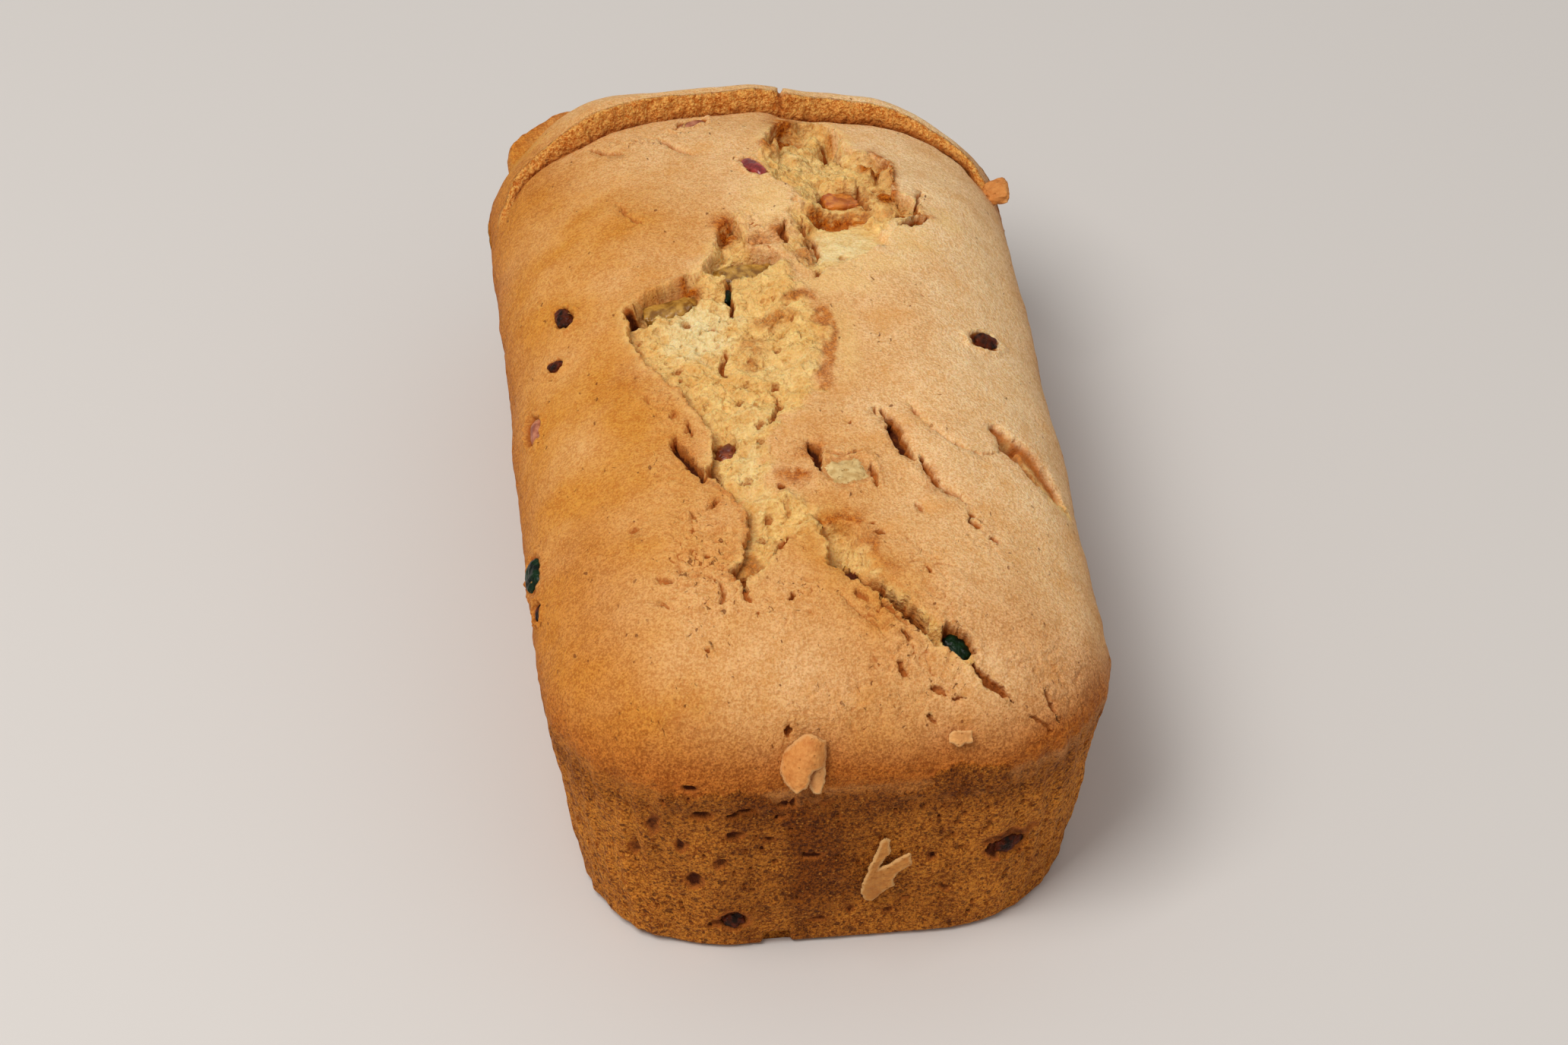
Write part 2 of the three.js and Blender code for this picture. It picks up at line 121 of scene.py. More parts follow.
BASE_HALF = np.array([48.0, 102.0])
RIM_HALF = np.array([55.3, 105.0])
BASE_CORNER, RIM_CORNER = 29.0, 32.0
RIM_HEIGHT, SHOULDER_HEIGHT, CROWN = 45.0, 18.0, 8.0
FOOT_ROUND = 1.8
FAR_SINK, FAR_SINK_RIGHT = 4.5, 4.0
SPACING = 0.3  # between the lines of the top's grid
WALL_SPACING = 0.75
MOST_TRIANGLES = 197000
DETAIL_KEPT = 7e-5  # how strongly thinning keeps off the detailed places

noise_seed = np.random.default_rng(11)
SLOPES = noise_seed.normal(size=(256, 3))
SLOPES /= np.linalg.norm(SLOPES, axis=1)[:, None]
SHUFFLED = np.tile(noise_seed.permutation(256), 3)


def smooth(value):
    """0 below 0, 1 above 1, and between them 3v squared less 2v cubed."""
    v = np.clip(value, 0, 1)
    return v * v * (3 - 2 * v)


def noise(points, size, seed=0):
    """Gradient noise from about -1 to 1. Each corner of a lattice of the given size has a random
    slope, and the eight slopes round a point are blended with 6f^5 - 15f^4 + 10f^3."""
    q = points / size + seed * 7.31
    cell = np.floor(q).astype(int)
    f = q - cell
    w = f ** 3 * (f * (f * 6 - 15) + 10)
    total = np.zeros(len(points))
    for i in (0, 1):
        for j in (0, 1):
            for k in (0, 1):
                h = SHUFFLED[(cell[:, 0] + i) & 255]
                h = SHUFFLED[h + ((cell[:, 1] + j) & 255)]
                slope = SLOPES[SHUFFLED[h + ((cell[:, 2] + k) & 255)]]
                share = np.where([i, j, k], w, 1 - w).prod(1)
                total += share * ((f - [i, j, k]) * slope).sum(1)
    return 1.6 * total


def grain(points, size, seed=0):
    """Distance to the nearest of the random points, one in each cell of a lattice of the given
    size, as a share of that size. It is round and low at each point, so it makes beads and pores."""
    q = points / size + seed * 3.77
    cell = np.floor(q).astype(int)
    nearest = np.full(len(points), 9.0)
    for i in (-1, 0, 1):
        for j in (-1, 0, 1):
            for k in (-1, 0, 1):
                c = cell + [i, j, k]
                h = SHUFFLED[c[:, 0] & 255]
                h = SHUFFLED[h + (c[:, 1] & 255)]
                h = SHUFFLED[h + (c[:, 2] & 255)]
                spot = c + 0.5 + 0.38 * SLOPES[h]
                nearest = np.minimum(nearest, ((q - spot) ** 2).sum(1))
    return np.sqrt(nearest)


def corner_share(x, y):
    """How far a place lies into the rounded border in x and in y, each from 0 to 1."""
    u = np.clip((np.abs(x) - (RIM_HALF[0] - RIM_CORNER)) / RIM_CORNER, 0, 1)
    v = np.clip((np.abs(y) - (RIM_HALF[1] - RIM_CORNER)) / RIM_CORNER, 0, 1)
    return u, v


def dome(x, y, sink_right=FAR_SINK + FAR_SINK_RIGHT):
    """Height of the smooth crust: a quarter-ellipse shoulder that stands on the rim, a shallow
    crown on it, and less the amount by which the far end sank."""
    u, v = corner_share(x, y)
    shoulder = np.sqrt(np.clip(1 - u * u - v * v, 0, 1))
    crown = CROWN * (1 - (x / RIM_HALF[0]) ** 2) * (1 - (np.abs(y) / RIM_HALF[1]) ** 4)
    sink = FAR_SINK + (sink_right - FAR_SINK) * smooth((x - 3) / 14)
    return RIM_HEIGHT + SHOULDER_HEIGHT * shoulder + crown - sink * smooth((y - 35) / 55) * np.sqrt(shoulder)


def loaf_grid():
    """The smooth closed surface. Top: two distances along the crust, where the part past the flat
    middle is an angle round the shoulder, and a corner's square of angles is rounded to a disc.
    Sides: the top's border carried down the tapered tin. Base: the last ring drawn in to a point."""
    quarter = RIM_CORNER * math.pi / 2
    flat = RIM_HALF - RIM_CORNER
    counts = np.rint(2 * (flat + quarter) / SPACING).astype(int)
    xi, eta = (np.linspace(-1, 1, n + 1) * (f + quarter) for n, f in zip(counts, flat))
    xi, eta = (g.ravel() for g in np.meshgrid(xi, eta))
    u = np.clip((np.abs(xi) - flat[0]) / quarter, 0, 1)
    v = np.clip((np.abs(eta) - flat[1]) / quarter, 0, 1)
    across, along = u * np.sqrt(1 - v * v / 2), v * np.sqrt(1 - u * u / 2)
    r = np.hypot(across, along)
    stretch = np.sin(r * math.pi / 2) / np.maximum(r, 1e-9)
    x = np.sign(xi) * (np.minimum(np.abs(xi), flat[0]) + RIM_CORNER * across * stretch)
    y = np.sign(eta) * (np.minimum(np.abs(eta), flat[1]) + RIM_CORNER * along * stretch)
    top = np.stack([x, y, dome(x, y)], 1)

    nx, ny = counts + 1
    index = np.arange(nx * ny).reshape(ny, nx)
    quads = [np.stack([index[:-1, :-1], index[:-1, 1:], index[1:, 1:], index[1:, :-1]], -1).reshape(-1, 4)]
    border = np.concatenate([index[0, :-1], index[:-1, -1], index[-1, :0:-1], index[:0:-1, 0]])

    rows = int((RIM_HEIGHT - FOOT_ROUND) / WALL_SPACING)
    levels = np.linspace(RIM_HEIGHT, FOOT_ROUND, rows + 1)[1:]
    bend = np.linspace(0, math.pi / 2, 6)[1:]
    heights = np.concatenate([levels, FOOT_ROUND * (1 - np.sin(bend))])
    inward = np.concatenate([0 * levels, FOOT_ROUND * (1 - np.cos(bend))])
    share = (heights / RIM_HEIGHT)[:, None, None]
    half = BASE_HALF + (RIM_HALF - BASE_HALF) * share
    corner = BASE_CORNER + (RIM_CORNER - BASE_CORNER) * share
    side = np.stack([xi, eta], 1)[border]
    flat_share = np.minimum(np.abs(side) / flat, 1)
    disc = np.stack([across, along], 1)[border]
    ring = np.sign(side) * ((half - corner) * flat_share + corner * disc)
    ring *= 1 - inward[:, None, None] / np.linalg.norm(ring, axis=2, keepdims=True)
    walls = np.concatenate([ring, np.broadcast_to(heights[:, None, None], (*ring.shape[:2], 1))], 2)
    drawn_in = np.array([0.985, 0.95, 0.88, 0.75, 0.55, 0.3])
    base = walls[-1] * drawn_in[:, None, None]
    below = np.concatenate([walls, base]).reshape(-1, 3)

    rings = np.concatenate([border[None], len(top) + np.arange(len(below)).reshape(-1, len(border))])
    after = np.roll(rings, -1, 1)
    quads.append(np.stack([rings[1:], after[1:], after[:-1], rings[:-1]], -1).reshape(-1, 4))
    points = np.concatenate([top, below, [[0.0, 0.0, 0.0]]])
    fan = np.stack([np.full(len(border), len(points) - 1), after[-1], rings[-1]], 1)
    return points, np.concatenate(quads), fan, len(top)


def vertex_normals(points, quads):
    """The mean direction of the faces round each point, from the cross product of diagonals."""
    facing = np.cross(points[quads[:, 2]] - points[quads[:, 0]], points[quads[:, 3]] - points[quads[:, 1]])
    total = np.stack([
        np.bincount(quads.ravel(), np.repeat(facing[:, axis], 4), len(points)) for axis in range(3)
    ], 1)
    return total / np.maximum(np.linalg.norm(total, axis=1), 1e-12)[:, None]


loaf_points, loaf_quads, loaf_fan, top_count = loaf_grid()
loaf_normals = vertex_normals(loaf_points, loaf_quads)
loaf_normals[-1] = (0, 0, -1)
px, py, pz = loaf_points.T
is_top = np.arange(len(loaf_points)) < top_count
side_share = np.where(is_top, smooth((RIM_HEIGHT + 9 - pz) / 14), 1)
off_base = smooth(pz / 2.5)


def layers(points, *parts):
    """The sum of several noises, each given as its height, its size and its seed."""
    return sum(height * noise(points, size, seed) for height, size, seed in parts)


def at_least(mark, where, amount):
    """Raises a mark to the amount at some of the points, wherever it is lower."""
    mark[where] = np.maximum(mark[where], amount)


# The crust's own slow swell and dimples, gentler on the sides, which the tin held flat.
swell = layers(loaf_points, (0.75, 30, 1), (0.38, 12, 2), (0.13, 5, 3))
push = swell * (1 - 0.35 * side_share) * off_base

# What the finish is told about each point, from 0 to 1.
crumb = np.zeros(len(loaf_points))  # bare crumb in place of crust
white = np.zeros(len(loaf_points))  # the palest crumb
# toast: browning, and also the painted shade just inside a tear's sharp lip
toast = np.zeros(len(loaf_points))  # crust or crumb that browned more
# pit: painted shade, how dark the inside of cracks, pits, pores and gaps is painted
pit = np.zeros(len(loaf_points))  # the dark inside of cracks and pores
# thin: thin crust, and also a painted highlight along a tear's broken edge
thin = np.zeros(len(loaf_points))  # thin, yellower crust at the edge of a tear


def segment_distance(x, y, a, b):
    """Distance to the segment from a to b, and how far along it the nearest point lies."""
    along = (b[0] - a[0], b[1] - a[1])
    t = ((x - a[0]) * along[0] + (y - a[1]) * along[1]) / (along[0] ** 2 + along[1] ** 2)
    t = np.clip(t, 0, 1)
    return np.hypot(x - a[0] - t * along[0], y - a[1] - t * along[1]), t


def line_distance(x, y, line):
    """Distance to a line of points, and the share of its length at the nearest point."""
    lengths = [math.dist(a, b) for a, b in zip(line, line[1:])]
    nearest, share = np.full(x.shape, 1e9), np.zeros(x.shape)
    for i, (a, b) in enumerate(zip(line, line[1:])):
        d, t = segment_distance(x, y, a, b)
        share = np.where(d < nearest, (sum(lengths[:i]) + t * lengths[i]) / sum(lengths), share)
        nearest = np.minimum(nearest, d)
    return nearest, share


def inside_by(x, y, outline):
    """Distance to a closed outline, positive inside it, where an odd number of edges lies beyond."""
    nearest, inside = np.full(x.shape, 1e9), np.zeros(x.shape, bool)
    for a, b in zip(outline, outline[1:] + outline[:1]):
        nearest = np.minimum(nearest, segment_distance(x, y, a, b)[0])
        if a[1] != b[1]:
            crosses = (a[1] > y) != (b[1] > y)
            inside ^= crosses & (x < a[0] + (y - a[1]) / (b[1] - a[1]) * (b[0] - a[0]))
    return np.where(inside, nearest, -nearest)


# The tears. Outlines in x and y, seen from above; each has a sharp lip on one side, and on the
# other a soft edge, where the crumb rises gently to the crust.
MAIN_TEAR = [
    (-31, 13.5), (-31, 8), (-30.5, 3), (-29, -1), (-27.5, -6), (-24.5, -12), (-22, -16), (-20.5, -19),
    (-19.5, -23), (-18, -26), (-17, -30), (-17.5, -34), (-18, -37), (-20, -39.5), (-19, -42.5), (-16, -46),
    (-14.5, -49.5), (-13.2, -52.5), (-13, -56), (-14, -60), (-14.5, -63), (-15, -66), (-17, -68), (-17, -71),
    (-15.5, -74), (-14, -70.5), (-11, -69), (-9.5, -66), (-8, -63), (-6.5, -61.5), (-3.5, -61.5), (-2, -60),
    (0, -61.5), (1.5, -63), (1, -54), (-2, -48.5), (-6, -47), (-7, -43), (-6.5, -37), (-5, -31), (-2, -28),
    (3, -24), (6, -18), (7, -12), (8.5, -6), (10, 0), (9, 4), (7, 10), (6, 15), (5, 20), (6, 24), (3, 23),
    (0, 25), (-4, 29), (-5, 38), (-4.5, 41), (-6, 39.5), (-9.5, 36), (-10.5, 30), (-12.5, 25.5), (-14, 23.5),
    (-15, 21.5), (-18, 20), (-19, 18), (-22, 17.5), (-24, 15.5), (-27, 14),
]
MAIN_SOFT_EDGES = [[
    (6, 26), (5, 20), (7, 10), (10, 0), (8.5, -6), (6, -18), (3, -24), (-2, -28), (-5, -31), (-6.5, -37),
    (-7, -43), (-5, -47), (1, -52), (2, -60),
]]
NEAR_TEAR = [
    (1, -63), (1.5, -68), (5, -69), (8, -73), (10, -76.5), (13, -80), (16, -84), (19, -88), (22, -90.5),
    (28, -95), (26, -91), (25.5, -88), (22, -86), (19, -83), (16, -79.5), (14, -76), (11.5, -73), (10, -69),
    (8.5, -65), (8, -61), (9, -58.5), (5, -57.5), (1, -55),
]
NEAR_SOFT_EDGES = [[(28, -93), (22, -85), (16, -78), (11.5, -72), (9.5, -66), (9, -58), (3, -56)]]
FAR_TEAR = [
    (4, 27), (5, 35), (7, 42), (8, 47), (6, 52), (3, 54), (1, 60), (1, 66), (4, 72), (6, 77), (8, 83),
    (13, 89), (19, 90), (22, 80), (23, 73), (25, 70), (27, 68), (30, 65), (30, 60), (29, 50), (33, 47),
    (34, 41), (28.5, 38), (27, 33), (25.5, 28.5), (21, 25), (17, 22), (13.5, 19.5), (10.5, 15.5),
    (9, 17.5), (6, 22),
]
FAR_SOFT_EDGES = [
    [(4, 27), (8, 45), (2, 55), (2, 66)],
    [(10, 15.5), (13.5, 19.5), (21, 25), (26, 29.5), (28, 36)],
]
# Inside the main tear two slabs of crumb lie higher than the rest.
SLAB = [
    (-9, 25), (-9.5, 12), (-10, 8), (-12, 0), (-13, -8), (-13, -12), (-9, -13), (-5, -16), (0, -14),
    (9, -8), (14, 4), (9, 26),
]
TONGUE = [
    (-12.5, -12.5), (-6, -16.5), (-3, -22), (-4.5, -26), (-7, -29), (-9.5, -36), (-14, -29), (-16.5, -22),
    (-21, -13), (-24, -7),
]

# The outlines are jagged, but less so round the peel strips and at the far end, where the crust
# broke in long pieces.
on_top = np.flatnonzero(is_top)
tp = loaf_points[on_top]
calm = 1 - 0.7 * smooth((tp[:, 1] - 10) / 5) * smooth((32 - tp[:, 1]) / 4)
calm -= 0.7 * smooth((tp[:, 1] - 68) / 5)
jag_x = 0.9 * noise(tp, 4.5, 5) + calm * layers(tp, (0.5, 2.2, 6), (0.2, 1.1, 31))
jag_y = 0.9 * noise(tp, 4.5, 7) + calm * layers(tp, (0.5, 2.2, 8), (0.2, 1.1, 32))
tx, ty = tp[:, 0] + jag_x, tp[:, 1] + jag_y
soft_x, soft_y = tp[:, 0] + 0.4 * jag_x, tp[:, 1] + 0.4 * jag_y

# Crumb is fluffy: soft lumps with smaller ones on them, a few creases, and open pores.
lumps = layers(tp, (1.1, 5.5, 9), (0.75, 2.6, 10), (0.5, 1.3, 24), (0.28, 0.75, 25))
lumps -= 0.8 * smooth(1 - np.abs(noise(tp, 4.4, 28)) / 0.09) * smooth(2 * noise(tp, 7, 27))
crumb_holes = smooth((0.17 + 0.1 * noise(tp, 6, 27) - grain(tp, 3.2, 28)) / 0.1)
roughness = np.ones(len(on_top))
bare = np.zeros(len(on_top))
drop = np.zeros(len(on_top))
slide = np.zeros((len(on_top), 2))

# Each tear: its outline and soft edges, its depth under the sharp lip, how far its floor takes to
# rise to a soft edge, and the y past which its lip leans back in place of overhanging.
TEARS = [
    (MAIN_TEAR, MAIN_SOFT_EDGES, 2.5, 13, 11),
    (NEAR_TEAR, NEAR_SOFT_EDGES, 4.4, 5, 0),
    (FAR_TEAR, FAR_SOFT_EDGES, 2.8, 8, 66),
]
OVERHANG = 1.2
for outline, soft_edges, deepest, rise, far_lip in TEARS:
    leaning = OVERHANG * smooth((ty - far_lip) / 5)
    inside = inside_by(tx, ty, outline)
    soft = np.min([line_distance(soft_x, soft_y, line)[0] for line in soft_edges], 0)
    sharp = smooth(soft / rise)
    drop = np.maximum(drop, smooth(inside / (0.6 + leaning + 3 * (1 - sharp))) * (0.35 + deepest * sharp))
    patchy = (1 - sharp) * (-0.4 - 2.2 * noise(tp, 2.4, 26) - 1.6 * noise(tp, 6, 48))
    shown = smooth((inside - patchy) / (0.45 + 3.2 * (1 - sharp)))
    bare = np.maximum(bare, shown)
    # The broken edge of the crust: small crumbs on it, paler than the rest, which is partly thin crust and
    # partly a painted highlight.
    edge = np.exp(-((np.minimum(inside, 0) / 1.5) ** 2)) * (inside <= 0) * sharp
    push[on_top] += edge * (0.2 + (0.8 - 0.6 * leaning) * (0.6 - grain(tp, 1.25, 52)))
    at_least(thin, on_top, edge * (0.7 + 0.9 * noise(tp, 1.6, 33)))
    # Painted shade just inside the sharp lip, where it overhangs the crumb, kept with the browning.
    lip_shade = smooth(inside / 0.5) * smooth((2.2 - inside) / 1.6) * sharp
    at_least(toast, on_top, lip_shade * (0.45 - 0.25 * leaning + 0.5 * noise(tp, 3, 59)))
    # Under the sharp lip the crumb was drawn back, so the lip overhangs it.
    under = np.flatnonzero((np.abs(inside - 0.8) < 2.2) & (sharp > 0.05))
    ux, uy = tx[under], ty[under]
    away = np.stack([
        inside_by(ux - 0.4, uy, outline) - inside_by(ux + 0.4, uy, outline),
        inside_by(ux, uy - 0.4, outline) - inside_by(ux, uy + 0.4, outline),
    ], 1) / 0.8
    tucked = (OVERHANG - leaning[under]) * np.exp(-((inside[under] - 0.8) / 0.5) ** 2) * sharp[under]
    slide[under] = away * tucked[:, None]
slab_up = smooth((inside_by(tx, ty, SLAB) + 0.3) / 1.6) * bare
tongue_up = smooth((inside_by(tx, ty, TONGUE) + 0.4) / 1.6) * bare
relief = 0.8 * slab_up + 0.4 * tongue_up - drop

# Parts of the torn inside that lie higher or lower than the rest: middle, reach in x and y,
# turn in degrees, height over the smooth crust, slope in x and in y, and roughness.
TORN_PARTS = [
    (-28.2, 12, 3.4, 2.6, 20, -5.2, 0, 0, 0.6),
    (-21, 17, 8, 3, 27, -3.8, 0, 0.1, 0.8),
    (-6, 24.5, 8, 3, 8, -3.4, 0, 0, 0.8),
    (-13.6, 19.4, 4.2, 3, 10, -1.5, 0, 0, 1.1),
    (-7.4, 34, 2.4, 7, -15, -4, 0.2, 0, 1.2),
    (-22, -15, 1.6, 4, 25, -3.6, 0, 0, 0.6),
    (-14.6, -30.5, 3, 3, 0, -3.2, 0, 0, 0.8),
    (7.6, 35, 3.0, 14, -4, -1.1, -0.2, 0, 1.3),
    (17.6, 29.4, 9, 11, 8, -1.9, 0.05, -0.2, 0.1),
    (17.5, 41.2, 7, 3.2, 4, -5.2, 0.26, 0, 0.1),
    (17.6, 45, 5.6, 1.0, 8, -2.4, 0, 0, 0.35),
    (26.5, 43, 2.4, 3.6, 25, -0.6, 0.1, 0, 0.4),
    (17.8, 48.4, 5.4, 4.4, 10, -3.6, 0.1, 0, 0.3),
    (19.5, 54.8, 6.5, 1.4, -10, 0.3, 0, -0.1, 0.6),
    (11.2, 60, 5.5, 5, 0, -2.4, 0, 0, 1),
    (24.2, 61.4, 3, 5, 5, -1.2, 0.5, 0, 0.9),
    (29.3, 57.5, 1.4, 7.5, 6, 1.2, -0.2, 0, 0.6),
    (9.6, 80, 4.6, 5.4, -8, -4.2, -0.1, 0, 0.4),
    (15.6, 79, 1.8, 7, -12, -1.4, 0, 0, 1.0),
    (19.6, 78.6, 2.3, 8.2, -17, -6.2, 0.1, 0, 0.4),
    (24.2, 77.5, 2.2, 7, -17, -1.2, 0.35, 0, 0.15),
    (5.4, 69.5, 2.6, 3.6, 0, 0.5, 0, 0, 1.2),
    (12.8, 70.5, 4.5, 5.5, 20, -2.2, -0.1, 0, 1),
]
for x0, y0, reach_x, reach_y, turn, height, slope_x, slope_y, rough in TORN_PARTS:
    close = np.flatnonzero(np.hypot(tx - x0, ty - y0) < 1.5 * max(reach_x, reach_y))
    dx, dy = tx[close] - x0, ty[close] - y0
    cosine, sine = math.cos(math.radians(turn)), math.sin(math.radians(turn))
    r = np.hypot((dx * cosine + dy * sine) / reach_x, (dy * cosine - dx * sine) / reach_y)
    part = smooth((1.12 - r) * min(reach_x, reach_y) / 1.4) * smooth(3 * bare[close] - 0.2)
    relief[close] += part * (height + slope_x * dx + slope_y * dy - relief[close])
    roughness[close] += part * (rough - roughness[close])
push[on_top] += relief + bare * roughness * (lumps - 1.1 * crumb_holes)
# Painted shade in the open pores of the crumb.
pit[on_top] = 0.28 * bare * crumb_holes * smooth(roughness)
crumb[on_top] = bare
loaf_points[on_top, :2] += slide


def reaches(x0, y0, reach_x, reach_y):
    """How far the top's points lie from the middle of a spot, where 1 is the spot's edge."""
    return np.hypot((tp[:, 0] - x0) / reach_x, (tp[:, 1] - y0) / reach_y)


# The palest crumb: middle, reach in x and y, and how much.
PALEST_CRUMB = [
    (-17, 6, 7, 8, 1.0), (-11, -42, 3, 10, 0.4), (-10, -26, 4, 7, 0.3), (17, 27, 10, 11, 0.75),
    (24, 75, 4, 8, 0.5), (14, 66, 6, 5, 0.3), (12, -63, 4, 5, 0.5), (1, -10, 6, 5, 0.25),
]
uneven = 0.5 * noise(tp, 3.5, 49)
for *spot, much in PALEST_CRUMB:
    at_least(white, on_top, bare * much * smooth(1.45 - reaches(*spot) + uneven))

# Thin yellowish crust where it was stretched beside the tears: middle and reach in x and y.
STRETCHED = [
    (2, 45, 5, 9), (13, 15, 8, 4), (21, 21.5, 8, 4), (30, 31, 5, 7), (38, 42, 4, 4), (12, -4, 3, 12),
]
uneven = 0.4 * noise(tp, 4, 63)
for spot in STRETCHED:
    at_least(thin, on_top, 0.6 * smooth(1.5 - reaches(*spot) + uneven))

# Where the dry crust broke into small flakes: middle, reach in x and y, and how much.
FLAKY = [
    (-22, -66, 8, 15, 1), (13, -86, 6, 9, 0.9), (22, -78, 5, 9, 0.6), (-8, -77, 8, 5, 0.7),
    (18, -68, 6, 5, 0.5), (-27, -40, 4, 9, 0.5), (32, -62, 7, 5, 0.4), (-3, 32, 4, 9, 1),
    (-21, 76, 12, 4, 0.5), (2, -97, 16, 4, 0.5), (20, -92, 8, 5, 0.6), (-33, -95, 8, 6, 0.4),
    (40, -92, 8, 7, 0.5), (-26, -20, 3, 9, 0.6), (-27, 44, 5, 6, 0.4),
]
flaky = np.zeros(len(loaf_points))
uneven = 0.4 * noise(tp, 5, 29)
for *spot, much in FLAKY:
    at_least(flaky, on_top, much * smooth(1.5 - reaches(*spot) + uneven) * (1 - bare))
flakes = np.abs(noise(tp, 2.6, 30))
push[on_top] += flaky[on_top] * (0.55 * smooth(flakes / 0.3) - 0.5 + 0.35 * np.abs(noise(tp, 1.2, 34)))
# Painted shade in the cracks between the flakes.
open_flakes = smooth((0.065 - flakes) / 0.045) * smooth(3 * noise(tp, 3.4, 60) + 0.1)
at_least(pit, on_top, 0.75 * flaky[on_top] * open_flakes)

# Cracks: the line of each, its width and its depth. The deeper it is, the darker the painted shade inside
# it.
CRACKS = [
    ([(-9.3, 22), (-9.6, 17), (-8.8, 11.5), (-9.6, 9)], 1.5, 2.4),
    ([(-12, -0.5), (-13, -6), (-12.6, -10.5)], 1.7, 1.7),
    ([(-3.4, -17), (-2.6, -21), (-4.2, -26), (-6, -28.5)], 1.6, 1.5),
    ([(-12, -12.5), (-8, -15.5), (-5, -16.8)], 0.9, 0.7),
    ([(-31, 13.5), (-29, 12.5), (-26, 11)], 2.2, 2.6),
    ([(-25, -28.5), (-24, -33), (-22, -37), (-20.5, -42.5)], 2.6, 3.6),
    ([(-20.5, -41), (-17.5, -41.5)], 2.4, 3.2),
    ([(1, -34), (2, -38), (3, -43.5)], 2.0, 3.0),
    ([(5, 38), (3.5, 34), (4.5, 29)], 1.6, 2.2),
    ([(17, 86), (18.4, 80), (20.4, 74), (22, 70)], 1.8, 1.6),
    ([(12, 41.8), (15, 41.4), (20, 42.6)], 3.6, 1.0),
    ([(9.2, 17), (10.4, 20.5)], 1.6, 1.6),
    ([(10.2, 24), (10.6, 30), (10, 35)], 1.4, 1.6),
    ([(6, 74), (5, 70)], 1.8, 1.4),
    ([(22, 55), (23.5, 46)], 1.8, 1.6),
    ([(9, 41), (8.5, 33), (10, 26)], 1.2, 1.2),
    ([(29, 36), (32, 37.5), (35, 40)], 2.0, 3.2),
    ([(28, 42), (31, 43), (35, 46)], 1.6, 1.8),
    ([(34, 45), (34.5, 48), (35.2, 52)], 0.9, 1.2),
    ([(17.6, -27), (18.6, -31), (19.5, -37), (21.4, -41)], 2.7, 3.2),
    ([(17, -25.5), (18, -30)], 1.4, 1.6),
    ([(22.5, -40), (23.5, -44), (25, -48.5), (27, -50), (29.5, -52.5)], 1.5, 2.0),
    ([(24, -28), (28, -33.5), (31, -36.6), (36, -37.2), (40, -34)], 0.7, 0.6),
    ([(15.5, -25), (15.7, -28)], 0.9, 1.2),
    ([(23, -25), (24, -28)], 1.0, 1.2),
    ([(30, -57), (32, -60)], 1.4, 1.5),
    ([(39.5, -27.5), (42, -31), (46.5, -35.5), (50.5, -42)], 7.6, 1.5),
    ([(41, -31.5), (45, -36.5), (49.5, -43)], 2.8, 2.4),
    ([(40, -28.2), (42.6, -31), (44, -34)], 2.8, 2.0),
    ([(5, -71.6), (9.5, -75.4), (13, -79.6), (16.4, -84), (19.5, -88)], 3.0, 4.0),
    ([(1.5, -68.3), (5, -70.6), (9.5, -75.4)], 2.8, 3.4),
    ([(12.6, -42), (13, -45), (12.6, -48.4)], 1.3, 1.6),
    ([(3, -38.4), (7, -39), (11.5, -38.6)], 0.8, 1.0),
    ([(25.5, -92.5), (30, -96), (33, -97.5)], 1.6, 2.2),
    ([(36, -99), (40, -99.5)], 0.8, 1.0),
    ([(2, -77), (6, -82), (9, -86)], 0.7, 0.8),
    ([(9, -77), (10, -80.5), (14, -85)], 0.8, 1.0),
    ([(-33, 77), (-29.5, 73), (-26, 70.5)], 1.4, 1.3),
    ([(-18, 76), (-15, 70.5), (-11.5, 67.5)], 1.3, 1.2),
    ([(-29, 50), (-27.5, 45), (-24.5, 41)], 0.8, 0.9),
    ([(-22, -24), (-21.3, -29)], 1.0, 1.4),
    ([(-28.8, -14), (-28.6, -17)], 0.8, 1.0),
    ([(-24.2, -20), (-24, -23)], 0.8, 1.0),
    ([(-23.6, -51.5), (-23.4, -54.5)], 0.9, 1.0),
    ([(-20.5, -51.5), (-18.5, -50.5), (-17.8, -48)], 1.0, 1.2),
    ([(-31.5, -66), (-31, -69)], 0.8, 1.0),
    ([(-24.7, -61.5), (-25, -63)], 0.8, 1.0),
    ([(-17.5, -69), (-14.5, -69.5)], 2.6, 2.2),
    ([(-15.8, -73), (-15, -77)], 1.2, 1.6),
    ([(-9, -66), (-6.5, -62), (-5, -62.5)], 1.4, 1.6),
    ([(-4.2, -50), (-5, -53), (-5.2, -55)], 0.9, 0.8),
    ([(1.5, -69.5), (4, -70)], 1.8, 1.8),
    ([(5.4, -76.4), (7, -79)], 1.2, 1.4),
    ([(10, -80), (12, -82)], 1.1, 1.2),
    ([(12.6, -86), (14.4, -87.4)], 1.0, 1.2),
    ([(11.2, -91.4), (13.4, -94)], 1.3, 1.4),
    ([(17.4, -95.8), (20.4, -96.4)], 1.2, 1.3),
    ([(21.4, -97), (24, -97.8)], 1.0, 1.2),
    ([(15.8, -99.8), (18, -100.4)], 1.1, 1.2),
    ([(39, -94.6), (41, -97.6)], 1.2, 1.3),
    ([(-36, -51), (-33.8, -52.6)], 1.1, 1.2),
    ([(-30.8, -67.2), (-28.8, -69)], 1.2, 1.3),
    ([(-32, -73.2), (-30.4, -75.4)], 1.1, 1.2),
    ([(-20.8, -70), (-19.8, -73), (-20, -76.4)], 1.0, 1.2),
    ([(-21.4, -24.6), (-22.6, -28)], 1.0, 1.2),
    ([(20.2, -53.6), (21.2, -56)], 1.0, 1.1),
]
